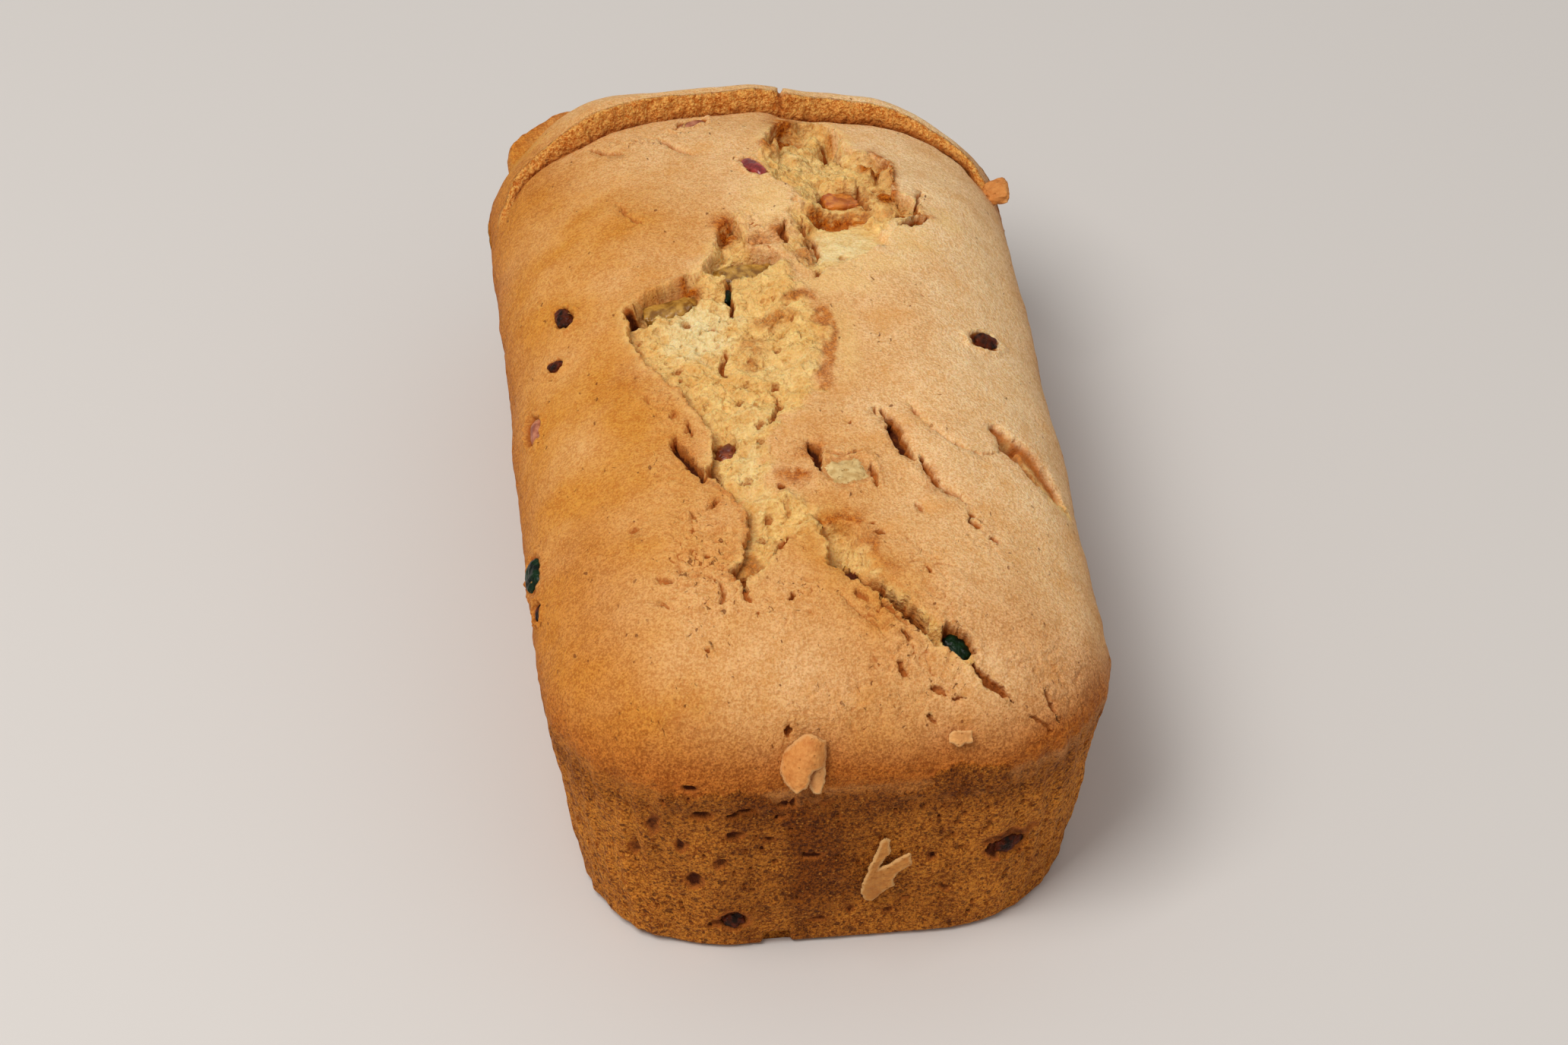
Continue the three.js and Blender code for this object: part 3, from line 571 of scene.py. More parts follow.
# Pits: middle and radius. Each is pushed in and painted dark inside, as painted shade.
PITS = [
    (-10.5, -19, 1.2), (-7.5, -27, 1.1), (-3.5, -15, 0.9), (-1.5, -4, 0.9), (-21.5, -5, 0.9),
    (-18, -39.5, 1.6), (15.6, 24.6, 0.9), (34.5, -61.5, 1.0), (-7.5, -6, 0.7), (2.5, 5, 0.6),
    (-5.5, -47, 0.9), (-14, 6, 0.9), (-19, 10, 1.0), (-16, 1, 0.7), (-8, -33, 0.9), (-12, -43, 1.0),
    (-9, -54, 1.0), (-11, -59, 0.9), (13, 64, 1.0), (17, 63, 0.9), (9, 66, 0.8), (26, 55, 0.9),
    (12, 54, 0.8), (10, -30, 0.4), (30, 12, 0.4), (-14, -80, 0.5), (-7, -77, 0.8), (-24, -86, 0.6),
    (-22, -64, 0.8), (-10, -100, 0.9), (20, -72, 0.6), (43.5, -30.5, 1.3), (30.5, -56, 0.8),
    (31.5, -58.5, 0.9), (12, -62, 0.9), (11, -59, 0.7), (5, -72.5, 1.2),
]
fray_x = 0.6 * jag_x + 0.45 * noise(tp, 1.3, 50)
fray_y = 0.6 * jag_y + 0.45 * noise(tp, 1.3, 51)
crack_x, crack_y = tp[:, 0] + fray_x, tp[:, 1] + fray_y
LONGEST_REACH = 28  # from a crack's middle to the last point that it can touch
for line, width, depth in CRACKS:
    middle = np.mean(line, 0)
    close = np.flatnonzero(np.hypot(crack_x - middle[0], crack_y - middle[1]) < LONGEST_REACH)
    d, share = line_distance(crack_x[close], crack_y[close], line)
    half_width = width / 2 * (0.35 + 0.65 * smooth(4 * share) * smooth(4 * (1 - share)))
    opening = smooth((1.2 - d / half_width) / 0.6)
    push[on_top[close]] -= depth * opening
    at_least(pit, on_top[close], (0.5 * opening + 0.5 * opening ** 2) * min(depth / 3, 1))

for x0, y0, radius in PITS:
    close = np.flatnonzero((np.abs(crack_x - x0) < 3) & (np.abs(crack_y - y0) < 3))
    opening = smooth((1.2 - np.hypot(crack_x[close] - x0, crack_y[close] - y0) / radius) / 0.7)
    push[on_top[close]] -= 1.5 * radius * opening
    at_least(pit, on_top[close], (0.8 - 0.4 * bare[close]) * opening)

# The widest crack shows crumb on its floor.
from_floor = line_distance(crack_x, crack_y, [(41.5, -30), (46.5, -36.5), (50, -42.5)])[0]
at_least(crumb, on_top, 0.8 * smooth((2.8 - from_floor) / 1.2))
pit[on_top] *= 1 - 0.6 * smooth((2.4 - from_floor) / 1.2)

# Places that browned more in the oven: middle, reach in x and y, and how much.
BROWNED = [
    (-32, -8, 4, 7, 0.3), (16.5, 42.2, 7, 2, 1.5), (20, 43, 5, 2, 0.8), (27, 49, 2.2, 6, 1.2),
    (26.5, 62.5, 3, 3, 1.3), (33, 41, 4, 1.4, 1.2), (7.5, 26, 2.5, 4, 0.7), (-2, 31, 4, 3, 0.6),
    (28, 41, 3, 2, 0.6), (4.5, 11.5, 4, 1.6, 0.8), (8.6, 4, 1.6, 4, 0.8), (8.2, -6, 1, 5, 0.8),
    (-1, 6, 5, 2.5, 0.7), (-6, -2, 3, 4, 0.6), (6.8, -15, 1.6, 4.5, 0.8), (-2.5, -44, 4, 3, 0.75),
    (-1.5, -43.5, 1.8, 2, 1.5), (1.5, -37, 1.6, 3, 0.9), (28.5, 63, 2.6, 4, 1), (5.5, 69.5, 2.5, 3, 0.9),
    (10.5, 83, 4.5, 7, 1), (5.5, -56.5, 5, 1.0, 1.0), (-16, -70, 2.6, 2, 1), (23, 48, 3, 7, 0.8),
    (32, 43.5, 3, 2.2, 1), (-8, 37, 3, 5, 1), (3, 34, 2, 5, 0.8), (-0.5, 23.5, 2.6, 1.6, 1),
    (9, 32, 2.5, 6, 0.6), (-7.5, -8, 1.5, 2.5, 0.6), (-17, 18.5, 3.4, 1.8, 1), (-22.5, -33, 2.5, 4, 0.5),
    (10, -64, 1.6, 4, 0.8), (-13.5, -66, 1.8, 5, 0.7), (-6, -2, 3, 5, 0.35), (19, -34, 1.6, 5, 0.7),
    (24, -46, 1.6, 4, 0.6), (45, -34, 4, 5, 0.7), (-18.5, -49.5, 1.8, 2, 0.7),
]
for x0, y0, reach_x, reach_y, much in BROWNED:
    from_middle = np.hypot((tp[:, 0] - x0 + jag_x) / reach_x, (tp[:, 1] - y0 + jag_y) / reach_y)
    at_least(toast, on_top, much * smooth(1.35 - from_middle))

# Rims that toasted in the oven: the line of each, its width and how much.
TOASTED_RIMS = [
    ([(3.6, 10.4), (7.3, 10.3), (9.9, 4.5), (10.8, -1), (9.4, -7), (7.6, -13.9), (6, -18)], 0.75, 0.8),
    ([(-29, -2), (-24.5, -12), (-20.5, -19), (-18, -26)], 0.9, 0.5),
    ([(-20, -43), (-15.5, -47.5), (-13.4, -54), (-14.5, -63)], 0.9, 0.6),
    ([(-6, -44), (-4.4, -40), (0, -38)], 1.0, 0.7),
    ([(1, -58), (5, -57), (9, -58.6)], 0.9, 0.9),
    ([(7, -62), (11, -68), (14, -73)], 0.8, 0.5),
    ([(27, 70), (30.4, 65), (30.2, 58), (29, 49)], 1.4, 0.9),
    ([(8, 90), (14, 91)], 1.2, 0.7),
]
for line, width, much in TOASTED_RIMS:
    at_least(toast, on_top, much * smooth((1.5 - line_distance(tx, ty, line)[0] / width) / 1.2))

# The lip of crust round the far end. It stands up from the line of its foot with a rough face.
LIP_FOOT = [
    (-52.5, 62), (-51.5, 70), (-48, 76.5), (-42, 79.5), (-33, 81.5), (-27, 85), (-19, 88.5), (-9, 90.5),
    (8.5, 91.8), (10, 90.4), (20, 91.4), (30, 89.6), (38, 87), (44, 83), (49, 77), (52, 70), (53, 62),
]
LIP_OUTSIDE = [(70, 62), (70, 120), (-70, 120), (-70, 62)]
LIP_MIDDLE, LIP_CORNER, LIP_RISE, LIP_FROM = 6.6, 2.8, 8.0, 62.0
LIP_SINK_RIGHT = 3.0
LIP_FACE = 2.0  # width of the steep face, in plan
SPLIT_X = 10.2  # where the lip split from its foot to its back

ends = np.flatnonzero(is_top & (py > LIP_FROM - 4))
ep = loaf_points[ends]
ex = ep[:, 0] + 0.35 * noise(ep, 3.2, 12) + 0.2 * noise(ep, 1.3, 13)
ey = ep[:, 1] + 0.35 * noise(ep, 3.2, 14) + 0.2 * noise(ep, 1.3, 15)
lip_by = inside_by(ex, ey, LIP_FOOT + LIP_OUTSIDE)
u, v = corner_share(ep[:, 0], ep[:, 1])
inset = RIM_CORNER * (1 - np.clip(np.hypot(u, v), 0, 1))
lip_height = LIP_MIDDLE + (LIP_CORNER - LIP_MIDDLE) * smooth((np.abs(ep[:, 0]) - 30) / 18)
lip_height *= 1 - 0.3 * smooth((ep[:, 0] - 8) / 25)
lip_height *= np.sin(math.pi / 2 * np.clip(inset / LIP_RISE, 0, 1))
lip_height *= smooth((ep[:, 1] - LIP_FROM) / 12)
step_up = dome(ep[:, 0], ep[:, 1], FAR_SINK + LIP_SINK_RIGHT) - dome(ep[:, 0], ep[:, 1])
face = 0.8 * smooth(lip_by / LIP_FACE + 0.1) + 0.2 * smooth(lip_by / 5)
foot_groove = np.exp(-((lip_by + 0.3) / 0.7) ** 2) * smooth((ep[:, 1] - 68) / 8)
split = smooth(1.2 - np.abs(ep[:, 0] - SPLIT_X - 0.12 * (ep[:, 1] - 95)) / 0.8) * (lip_by > 0)
lifted = np.zeros(len(loaf_points))
lifted[ends] = (lip_height + step_up) * face - 0.9 * foot_groove - 1.6 * split * smooth(inset / 6)
lip_face = np.zeros(len(loaf_points))
lip_face[ends] = smooth(lip_by / 0.5 + 0.6) * smooth((LIP_FACE * 1.05 - lip_by) / 0.5)
lip_face[ends] *= smooth((ep[:, 1] - 66) / 6)
lifted[ends] += lip_face[ends] * (0.7 * (0.5 - grain(ep, 1.5, 53)) + 0.4 * noise(ep, 3, 54))
# Painted shade in the groove along the lip's foot and in its split.
foot_shade = foot_groove * (0.5 + 0.4 * smooth((ep[:, 0] - 5) / 25))
at_least(pit, ends, np.maximum(foot_shade, 0.5 * split))

# The ledge of batter that ran over the tin's rim at the far left corner.
LEDGE_REACH, LEDGE_BOTTOM, LEDGE_TOP = 3.6, 46.3, 50.4
angle = np.degrees(np.arctan2(py - (RIM_HALF[1] - RIM_CORNER), px + RIM_HALF[0] - RIM_CORNER))
ledge = smooth((angle - 97) / 9) * smooth((149 - angle) / 10) * smooth((pz - LEDGE_BOTTOM) / 0.9)
ledge *= smooth((LEDGE_TOP + 0.5 * noise(loaf_points, 5, 16) - pz) / 1.3)
push += ledge * (LEDGE_REACH + 0.7 * noise(loaf_points, 5, 17) + 0.3 * noise(loaf_points, 1.6, 18))
toast = np.maximum(toast, ledge * 0.6)

# Pores and ribs of the sides, where the tin pressed the batter.
walls = np.flatnonzero(side_share > 0.02)
wp = loaf_points[walls]
pores = grain(wp, 3.0, 4)
open_pore = smooth((0.2 + 0.08 * noise(wp, 9, 19) - pores) / 0.1)
ribs = noise(wp * [1, 1, 0.12], 2.6, 20) * smooth((np.abs(wp[:, 0]) - 26) / 10)
ribs *= smooth((-wp[:, 1] - 60) / 20)
wall_push = -0.75 * open_pore + 0.8 * ribs + 0.2 * noise(wp, 2.2, 21) + 0.3 * noise(wp, 7, 22)
push[walls] += side_share[walls] * off_base[walls] * wall_push
# Painted shade in the open pores of the sides.
at_least(pit, walls, open_pore * side_share[walls] * off_base[walls])
# The notch under the near end, and the near left corner's swollen foot.
NOTCH_X, NOTCH_HALF, NOTCH_HEIGHT, NOTCH_DEPTH = -12.5, 3.2, 4.2, 3
FOOT_CORNER, FOOT_REACH, FOOT_SWELL = (-40, -92), 9, 1.6
notch = smooth((NOTCH_HALF - np.abs(px - NOTCH_X)) / 1.6) * smooth((NOTCH_HEIGHT - pz) / 2)
push -= NOTCH_DEPTH * notch * (py < -90) * ~is_top
corner_x, corner_y = (px - FOOT_CORNER[0]) / FOOT_REACH, (py - FOOT_CORNER[1]) / FOOT_REACH
push += FOOT_SWELL * smooth((26 - pz) / 22) * off_base * np.exp(-(corner_x ** 2) - corner_y ** 2)

# Brown skin of the tin's side that stuck to the near shoulder, with a ragged upper edge.
# Outlines in x and z on the near end.
NEAR_SKINS = [
    [
        (8, 36), (9, 41), (12, 42.2), (16, 42), (17.3, 44), (16, 46.4), (19, 47.6), (22, 48.6),
        (25, 47.8), (28, 47), (31, 46.8), (32, 42), (30, 36),
    ],
    [
        (-35, 38), (-34, 44), (-31, 45.5), (-28, 44.4), (-26.5, 46.4), (-23, 45.6), (-20.5, 47),
        (-18.5, 45), (-15.5, 44.4), (-13, 42), (-12, 38),
    ],
]
skin = np.zeros(len(loaf_points))
near_end = np.flatnonzero((py < -84) & (pz > 30) & (pz < 56))
near_points = loaf_points[near_end]
skin_x = near_points[:, 0] + 0.7 * noise(near_points, 1.8, 35)
skin_z = near_points[:, 2] + 0.9 * noise(near_points, 1.8, 36)
for outline in NEAR_SKINS:
    at_least(skin, near_end, smooth(inside_by(skin_x, skin_z, outline) / 0.5 + 0.5))
push += 0.55 * skin * smooth((pz - 39) / 3)
side_share = np.maximum(side_share, skin * smooth((pz - 39) / 2))

# Torn holes under the rim of the near end, each with painted shade in and round it: x, z, reach in x and z,
# depth.
RIM_HOLES = [
    (-29.5, 46.6, 1.6, 0.9, 1.4), (-27, 39.5, 2, 1.2, 1.6), (-19, 39.6, 2.2, 0.9, 1.8),
    (-21.5, 38.4, 1.4, 0.8, 1.4), (-11.6, 40.5, 1.2, 0.8, 1.2), (-9.6, 40.8, 0.8, 1.2, 1),
    (-12, 37.4, 1, 0.6, 1), (-3.4, 40.4, 1.4, 0.5, 0.8), (-21, 33, 1.8, 1, 1.2), (-31, 30, 1.2, 1.6, 1.2),
    (-24, 25, 1.2, 1.2, 0.9), (-6, 25.5, 2.2, 0.8, 1), (-28.5, 20, 1.6, 2, 1), (-14.5, 31, 1.2, 0.7, 1.1),
    (17, 22.5, 0.9, 1, 1), (20, 13, 1, 0.8, 0.9), (-21, 8.4, 3.2, 2.4, 1.1), (-24.2, 7.4, 1.6, 1, 0.8),
    (-4.7, 6.5, 1.8, 0.8, 0.9), (32.5, 24.6, 5, 1.8, 0.8), (29.5, 21.5, 1.6, 2.2, 1),
    (2, 9, 0.9, 0.8, 0.8), (9, 7.5, 1, 0.7, 0.8), (13, 11, 0.8, 0.6, 0.8), (-36, 35, 1, 3, 0.8),
    (-39.5, 26, 0.8, 2.4, 0.8),
]
near_end = np.flatnonzero(py < -72)
near_x, _, near_z = loaf_points[near_end].T
shift = layers(loaf_points[near_end], (0.8, 2.4, 37), (0.4, 1.1, 38))
rim_hole_shade = np.zeros(len(loaf_points))
for x0, z0, reach_x, reach_z, depth in RIM_HOLES:
    r = np.hypot((near_x - x0 + shift) / reach_x, (near_z - z0 + 0.6 * shift) / reach_z)
    push[near_end] -= 0.8 * depth * smooth((1.3 - r) / 0.6)
    # Painted shade in and round each hole, darker for deeper holes.
    at_least(rim_hole_shade, near_end, min(depth, 1) * smooth((1.5 - r) / 0.9))
pit = np.maximum(pit, rim_hole_shade)

# Fruit sits in hollows: the direction each piece lies along, its half length and half width, and
# how far the floor of its hollow lies over the piece's middle.
FRUIT = {
    "dried_cherry_left": ((-0.34, 0.94, 0), 3.5, 2.1, 0.5),
    "dried_cherry_left_small": ((-0.94, 0.34, 0), 2.1, 1.5, 0.4),
    "dried_cherry_right": ((0.94, 0.34, 0), 3.8, 2.3, 0.5),
    "red_cherry_far": ((-0.47, 0.88, 0), 4.2, 1.9, 0.4),
    "pink_cherry_far": ((0.82, 0.57, 0), 4, 1.8, 0.9),
    "papaya_chunk": ((0.98, 0.17, 0), 4.25, 3.5, -2.8),
    "peel_strip_far": ((1, 0.09, 0), 7, 3, 0.6),
    "peel_strip_left": ((0.98, 0.21, 0), 6.5, 3, 0.8),
    "angelica_bit": ((0.17, 0.98, 0), 2.2, 1.3, 0.3),
    "cherry_in_tear": ((0.34, 0.94, 0), 3, 2.3, 0.6),
    "melon_chunk": ((0.98, 0.2, 0), 4.75, 4.4, 1.8),
    "green_cherry_near": ((-0.53, 0.85, 0), 3.7, 2.3, 0.2),
    "green_cherry_side": ((0, 1, 0), 4.4, 2.9, 1.5),
    "pink_fruit_side": ((0, 1, 0), 4, 2.2, 0.8),
    "cherry_side_near": ((0, 1, 0), 2.2, 1.7, 0.5),
    "dark_cherry_front": ((1, 0, 0), 3.5, 2.5, 0.8),
    "raisin_front": ((1, 0, 0), 2.3, 2.2, 0.8),
}


def box_mm(node):
    """The lowest and the highest corner of a node of the CAD model, in millimetres."""
    low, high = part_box(node)
    return np.array(low) / MM, np.array(high) / MM


def resting_place(node, along):
    """Three directions for a piece on the loaf: along it, across it and out of the crust; and how
    far out of the smooth crust the middle of its box lies."""
    middle = np.mean(box_mm(node), 0)
    nearest = np.argmin(((loaf_points - middle) ** 2).sum(1))
    out = loaf_normals[nearest]
    along = np.array(along) - np.dot(along, out) * out
    along /= np.linalg.norm(along)
    return middle, along, np.cross(out, along), out, np.dot(middle - loaf_points[nearest], out)


for node, (along, half_length, half_width, under) in FRUIT.items():
    middle, along, across, out, rise = resting_place(node, along)
    close = np.flatnonzero(((loaf_points - middle) ** 2).sum(1) < (2 * half_length) ** 2)
    cp = loaf_points[close]
    away = cp - middle
    r = np.hypot(away @ along / half_length, away @ across / half_width)
    ragged = 0.08 if node.startswith("peel") else 1.0
    r += ragged * layers(cp, (0.26, 2.2, 39), (0.16, 1.0, 55))
    on_crust = 1 - crumb[close]
    push[close] += 0.55 * on_crust * np.exp(-((r - 1.3) / 0.3) ** 2) * (1 + noise(cp, 1.5, 56))
    hollow = smooth((1.12 - r) / 0.2)
    push[close] += hollow * (np.minimum(rise + under, push[close]) - push[close])
    ring = hollow * smooth((r - 0.55) / 0.2)
    # Painted shade in the gap round each piece, lighter round melon and peel.
    at_least(pit, close, (0.25 if node.startswith(("melon", "peel")) else 0.7) * ring)

# The crust gives way a little under the curled flake.
flake_middle = np.mean(box_mm("crust_flake_curled"), 0)
from_flake = (loaf_points - flake_middle) / [5.5, 8, 8]
push -= 1.0 * smooth(1.4 - np.linalg.norm(from_flake, axis=1))

shape = loaf_points + loaf_normals * push[:, None]
shape[:, 2] += lifted
# Steep broken faces are rough across, as well as up and down.
facing = vertex_normals(shape, loaf_quads)
upright = (facing * loaf_normals).sum(1) < 0.72
broken = pit + crumb + thin + lip_face > 0.05
steep = np.flatnonzero(is_top & (side_share < 0.02) & upright & broken)
rough_face = layers(shape[steep], (0.5, 2.2, 61), (0.35, 1.1, 62))
shape[steep] += facing[steep] * rough_face[:, None]
shape[:, 2] = np.where(pz <= 0, 0, np.maximum(shape[:, 2], 0.02))


def make_piece(name, points, faces, material, marks=None):
    """A mesh object from points in millimetres, faces and named values at its points."""
    mesh = bpy.data.meshes.new(name)
    mesh.from_pydata((points * MM).tolist(), [], [f for part in faces for f in part.tolist()])
    for mark, values in (marks or {}).items():
        layer = mesh.attributes.new(mark, "FLOAT", "POINT")
        layer.data.foreach_set("value", np.clip(values, 0, 1).astype(np.float32))
    mesh.shade_smooth()
    mesh.materials.append(material)
    piece = bpy.data.objects.new(name, mesh)
    scene.collection.objects.link(piece)
    return piece


MM_IN_METRE = 1000


class Wire:
    """A socket in a material's nodes. Arithmetic on it adds Math nodes, and add() any other node."""

    def __init__(self, tree, socket=None):
        self.tree = tree
        self.socket = socket

    def add(self, kind, settings=None, inputs=None, output=0):
        """A new node: its settings or ramp stops first, then values or wires for its sockets."""
        node = self.tree.nodes.new(kind)
        for key, value in (settings or {}).items():
            if key == "stops":
                for _ in value[2:]:
                    node.color_ramp.elements.new(0.5)
                for stop, (position, colour) in zip(node.color_ramp.elements, value):
                    stop.position, stop.color = position, colour
            else:
                setattr(node, key, value)
        for key, value in (inputs or {}).items():
            if isinstance(value, Wire):
                self.tree.links.new(value.socket, node.inputs[key])
            else:
                node.inputs[key].default_value = value
        return Wire(self.tree, node.outputs[output])

    def math(self, operation, *values):
        return self.add("ShaderNodeMath", {"operation": operation}, dict(enumerate(values)))

    def __add__(self, other):
        return self.math("ADD", self, other)

    __radd__ = __add__

    def __sub__(self, other):
        return self.math("SUBTRACT", self, other)

    def __rsub__(self, other):
        return self.math("SUBTRACT", other, self)

    def __mul__(self, other):
        return self.math("MULTIPLY", self, other)

    __rmul__ = __mul__

    def __pow__(self, power):
        return self.math("POWER", self, power)

    def clip(self):
        """The value held between 0 and 1."""
        return self.add("ShaderNodeClamp", None, {"Value": self})

    def step(self, low, high):
        """0 below low, 1 above high and a smooth ramp between, which may also run downwards."""
        settings = {"interpolation_type": "SMOOTHSTEP"}
        inputs = {"Value": self, "From Min": low, "From Max": high, "To Min": 0.0, "To Max": 1.0}
        return self.add("ShaderNodeMapRange", settings, inputs)

    def blend(self, first, second):
        """The colour first where this wire is 0, and second where it is 1."""
        settings = {"data_type": "RGBA"}
        return self.add("ShaderNodeMix", settings, {0: self, 6: first, 7: second}, 2)

    def shade(self, light_and_dark):
        """The second colour of a pair where this wire is 0, and the first where it is 1."""
        return self.blend(light_and_dark[1], light_and_dark[0])

    def shades(self, share, first, second):
        """As shade, on a pair that share turns from the pair first into the pair second."""
        return self.blend(share.blend(first[1], second[1]), share.blend(first[0], second[0]))

    def mark(self, name):
        """A value stored at the mesh's points."""
        return self.add("ShaderNodeAttribute", {"attribute_name": name}, None, 2)

    def place(self):
        """Where a point lies on the piece, in metres."""
        return self.add("ShaderNodeTexCoord", None, None, 3)

    def mottle(self, size, detail=3.0, coords=None):
        """Noise from 0 to 1 with patches of about the given size in millimetres."""
        inputs = {"Vector": coords or self.place(), "Scale": MM_IN_METRE / size, "Detail": detail}
        return self.add("ShaderNodeTexNoise", None, inputs)

    def speckle(self, size, coords=None):
        """Distance to the nearest of scattered points, in cells of the given size in millimetres."""
        inputs = {"Vector": coords or self.place(), "Scale": MM_IN_METRE / size}
        return self.add("ShaderNodeTexVoronoi", None, inputs)

    def relief(self, height):
        """The bumped normal of a height in millimetres."""
        return self.add("ShaderNodeBump", None, {"Height": height, "Distance": MM, "Strength": 1.0})


def new_finish(name):
    """A material with an empty Principled shader, and the wire that its nodes start from."""
    material = bpy.data.materials.new(name)
    material.use_nodes = True
    shader = material.node_tree.nodes["Principled BSDF"]
    return material, shader, Wire(material.node_tree)


def wire_up(shader, **links):
    """Joins wires to the shader's sockets, whose names have _ for a space."""
    for name, wire in links.items():
        wire.tree.links.new(wire.socket, shader.inputs[name.replace("_", " ")])


crust, crust_shader, w = new_finish("baked crust and crumb")
# Each pair is a light and a dark shade, which the grain mixes.
CRUST_GOLD = srgb(216, 150, 62), srgb(192, 118, 40)
# Pale crust; on the right side it also stands for painted light and sheen.
PALE_AND_LIT_CRUST = srgb(252, 216, 166), srgb(228, 178, 118)
SIDE_GOLD = srgb(224, 141, 49), srgb(142, 72, 12)
BAKED = srgb(198, 116, 42), srgb(142, 70, 12)
# Brown sides; also the painted shade under the rim.
SIDE_BROWN_AND_RIM_SHADE = srgb(150, 79, 14), srgb(80, 33, 1)
# Browned crust; also the painted shade just inside the tears' sharp lips.
TOAST_AND_LIP_SHADE = srgb(206, 118, 30), srgb(142, 62, 8)
LIP_FACE_GOLD = srgb(250, 188, 100), srgb(200, 112, 36)
CRUMB_WHITE = srgb(248, 226, 170), srgb(222, 182, 110)
CRUMB_YELLOW = srgb(250, 210, 134), srgb(212, 154, 78)
MOTTLED_GOLD = srgb(218, 150, 70)
# Thin crust; also the painted highlight along a tear's broken edge.
THIN_CRUST_AND_EDGE_HIGHLIGHT = srgb(242, 202, 128)
CRUMB_STAIN = srgb(226, 158, 72)
WALL_SPECK = srgb(222, 150, 62)
# Painted shade inside cracks.
CRACK_SHADE = srgb(176, 98, 36)
# Specks of the crust's own colour, and painted shade in hairline cracks.
SPECK_AND_CRACK_SHADE = srgb(122, 62, 22)
# Painted shade inside the deepest pits and the pores.
PIT_SHADE = srgb(78, 30, 6)
CRUST_SHINE = 0.12
# Light goes a little way into bread, and red light the furthest.
GLOW, GLOW_OF_COLOURS, GLOW_DEPTH = 0.3, (1.0, 0.5, 0.22), 1.8 * MM
WANDER = 2 * MM  # how far cracks and pores stray from an even pattern

place = w.place()
wander = w.add("ShaderNodeTexNoise", None, {"Vector": place, "Scale": 500.0, "Detail": 2.0}, 1)
wander = w.add("ShaderNodeVectorMath", {"operation": "MULTIPLY"}, {0: wander, 1: (WANDER, WANDER, WANDER)})
warped = w.add("ShaderNodeVectorMath", {"operation": "ADD"}, {0: place, 1: wander})
stretched = {"Vector": warped, "Rotation": (0.0, 0.0, math.radians(-32)), "Scale": (1.0, 0.45, 0.8)}
drawn_out = w.add("ShaderNodeMapping", None, stretched)
marks = {name: w.mark(name) for name in (
    "crumb", "white", "toast", "pit", "side", "pale", "face", "thin", "brown", "flaky", "baked", "fluffy")}

patches = w.mottle(15, 2.0) - 0.5
cloud = w.mottle(4.5, 4.0)
fine = w.mottle(1.3, 4.0)
dust = w.mottle(0.55, 2.0)
sand = w.mottle(0.36, 2.0) - 0.5
tone = (0.5 + (cloud - 0.5) * 0.9 + (fine - 0.5) * 1.5 + (dust - 0.5) * 2.4 + sand * 2.6).clip()
palest_and_lit = (marks["pale"] + patches * 0.7).clip()
top_colour = tone.shades(palest_and_lit, CRUST_GOLD, PALE_AND_LIT_CRUST)
brownest_and_rim_shade = (marks["brown"] + patches * 1.1).clip()
grit = w.mottle(0.7, 3.0) - 0.5
side_tone = (0.5 + (cloud - 0.5) * 0.9 + (fine - 0.5) * 1.2 + grit * 2.6 + sand * 2.4).clip()
side_colour = side_tone.shades(brownest_and_rim_shade, SIDE_GOLD, SIDE_BROWN_AND_RIM_SHADE)
top_colour = (w.mottle(8, 4.0).step(0.52, 0.72) * 0.35).blend(top_colour, MOTTLED_GOLD)
most_baked = (marks["baked"] + patches * 0.5 * marks["baked"]).clip()
top_colour = most_baked.blend(top_colour, tone.shade(BAKED))
top_colour = (marks["side"].step(0.0, 0.6) * 0.75).blend(top_colour, side_tone.shade(BAKED))
side_edge = marks["side"] + (w.mottle(4, 5.0) - 0.5) * 0.7
crust_colour = side_edge.step(0.35, 0.95).blend(top_colour, side_colour)
crust_colour = (marks["thin"] * 0.6).blend(crust_colour, THIN_CRUST_AND_EDGE_HIGHLIGHT)

# Short cracks and specks in the dry top, and the pores of the sides. The specks are the crust's own colour;
# the dark in the cracks and pores is painted shade.
specks = w.speckle(2.4, drawn_out).step(0.12, 0.07) * w.mottle(7, 2.0).step(0.44, 0.6)
torn_lines = w.mottle(2.4, 2.0, drawn_out) - 0.5
torn_lines = torn_lines.math("ABSOLUTE", torn_lines).step(0.016, 0.003)
where_dry = w.mottle(1.5, 2.0, warped) + marks["flaky"] * 0.12
hairlines = torn_lines * where_dry.step(0.66, 0.74)
specks_and_crack_shade = (specks + hairlines).clip() * (1 - marks["side"]) * (1 - marks["crumb"])
small_pores = w.speckle(0.95, warped).step(0.32, 0.14)
large_pores = w.speckle(2.6, warped).step(0.24, 0.12)
rough_side = (marks["side"] + marks["face"]).clip() * (1 - marks["crumb"])
holes = (small_pores * 0.8 + large_pores).clip() * rough_side * (1 - marks["face"] * 0.75)

crumb_tone = (0.6 + (w.mottle(2.8, 5.0) - 0.5) * 1.7 + (fine - 0.5) * 1.2 + (dust - 0.5) * 1.3).clip()
whitest = (marks["white"] + patches * 0.6).clip()
crumb_colour = crumb_tone.shades(whitest, CRUMB_YELLOW, CRUMB_WHITE)
crumb_stain = w.mottle(5.5, 4.0).step(0.5, 0.68) * 0.4 * (1 - marks["white"])
crumb_colour = crumb_stain.blend(crumb_colour, CRUMB_STAIN)
colour = marks["crumb"].blend(crust_colour, crumb_colour)
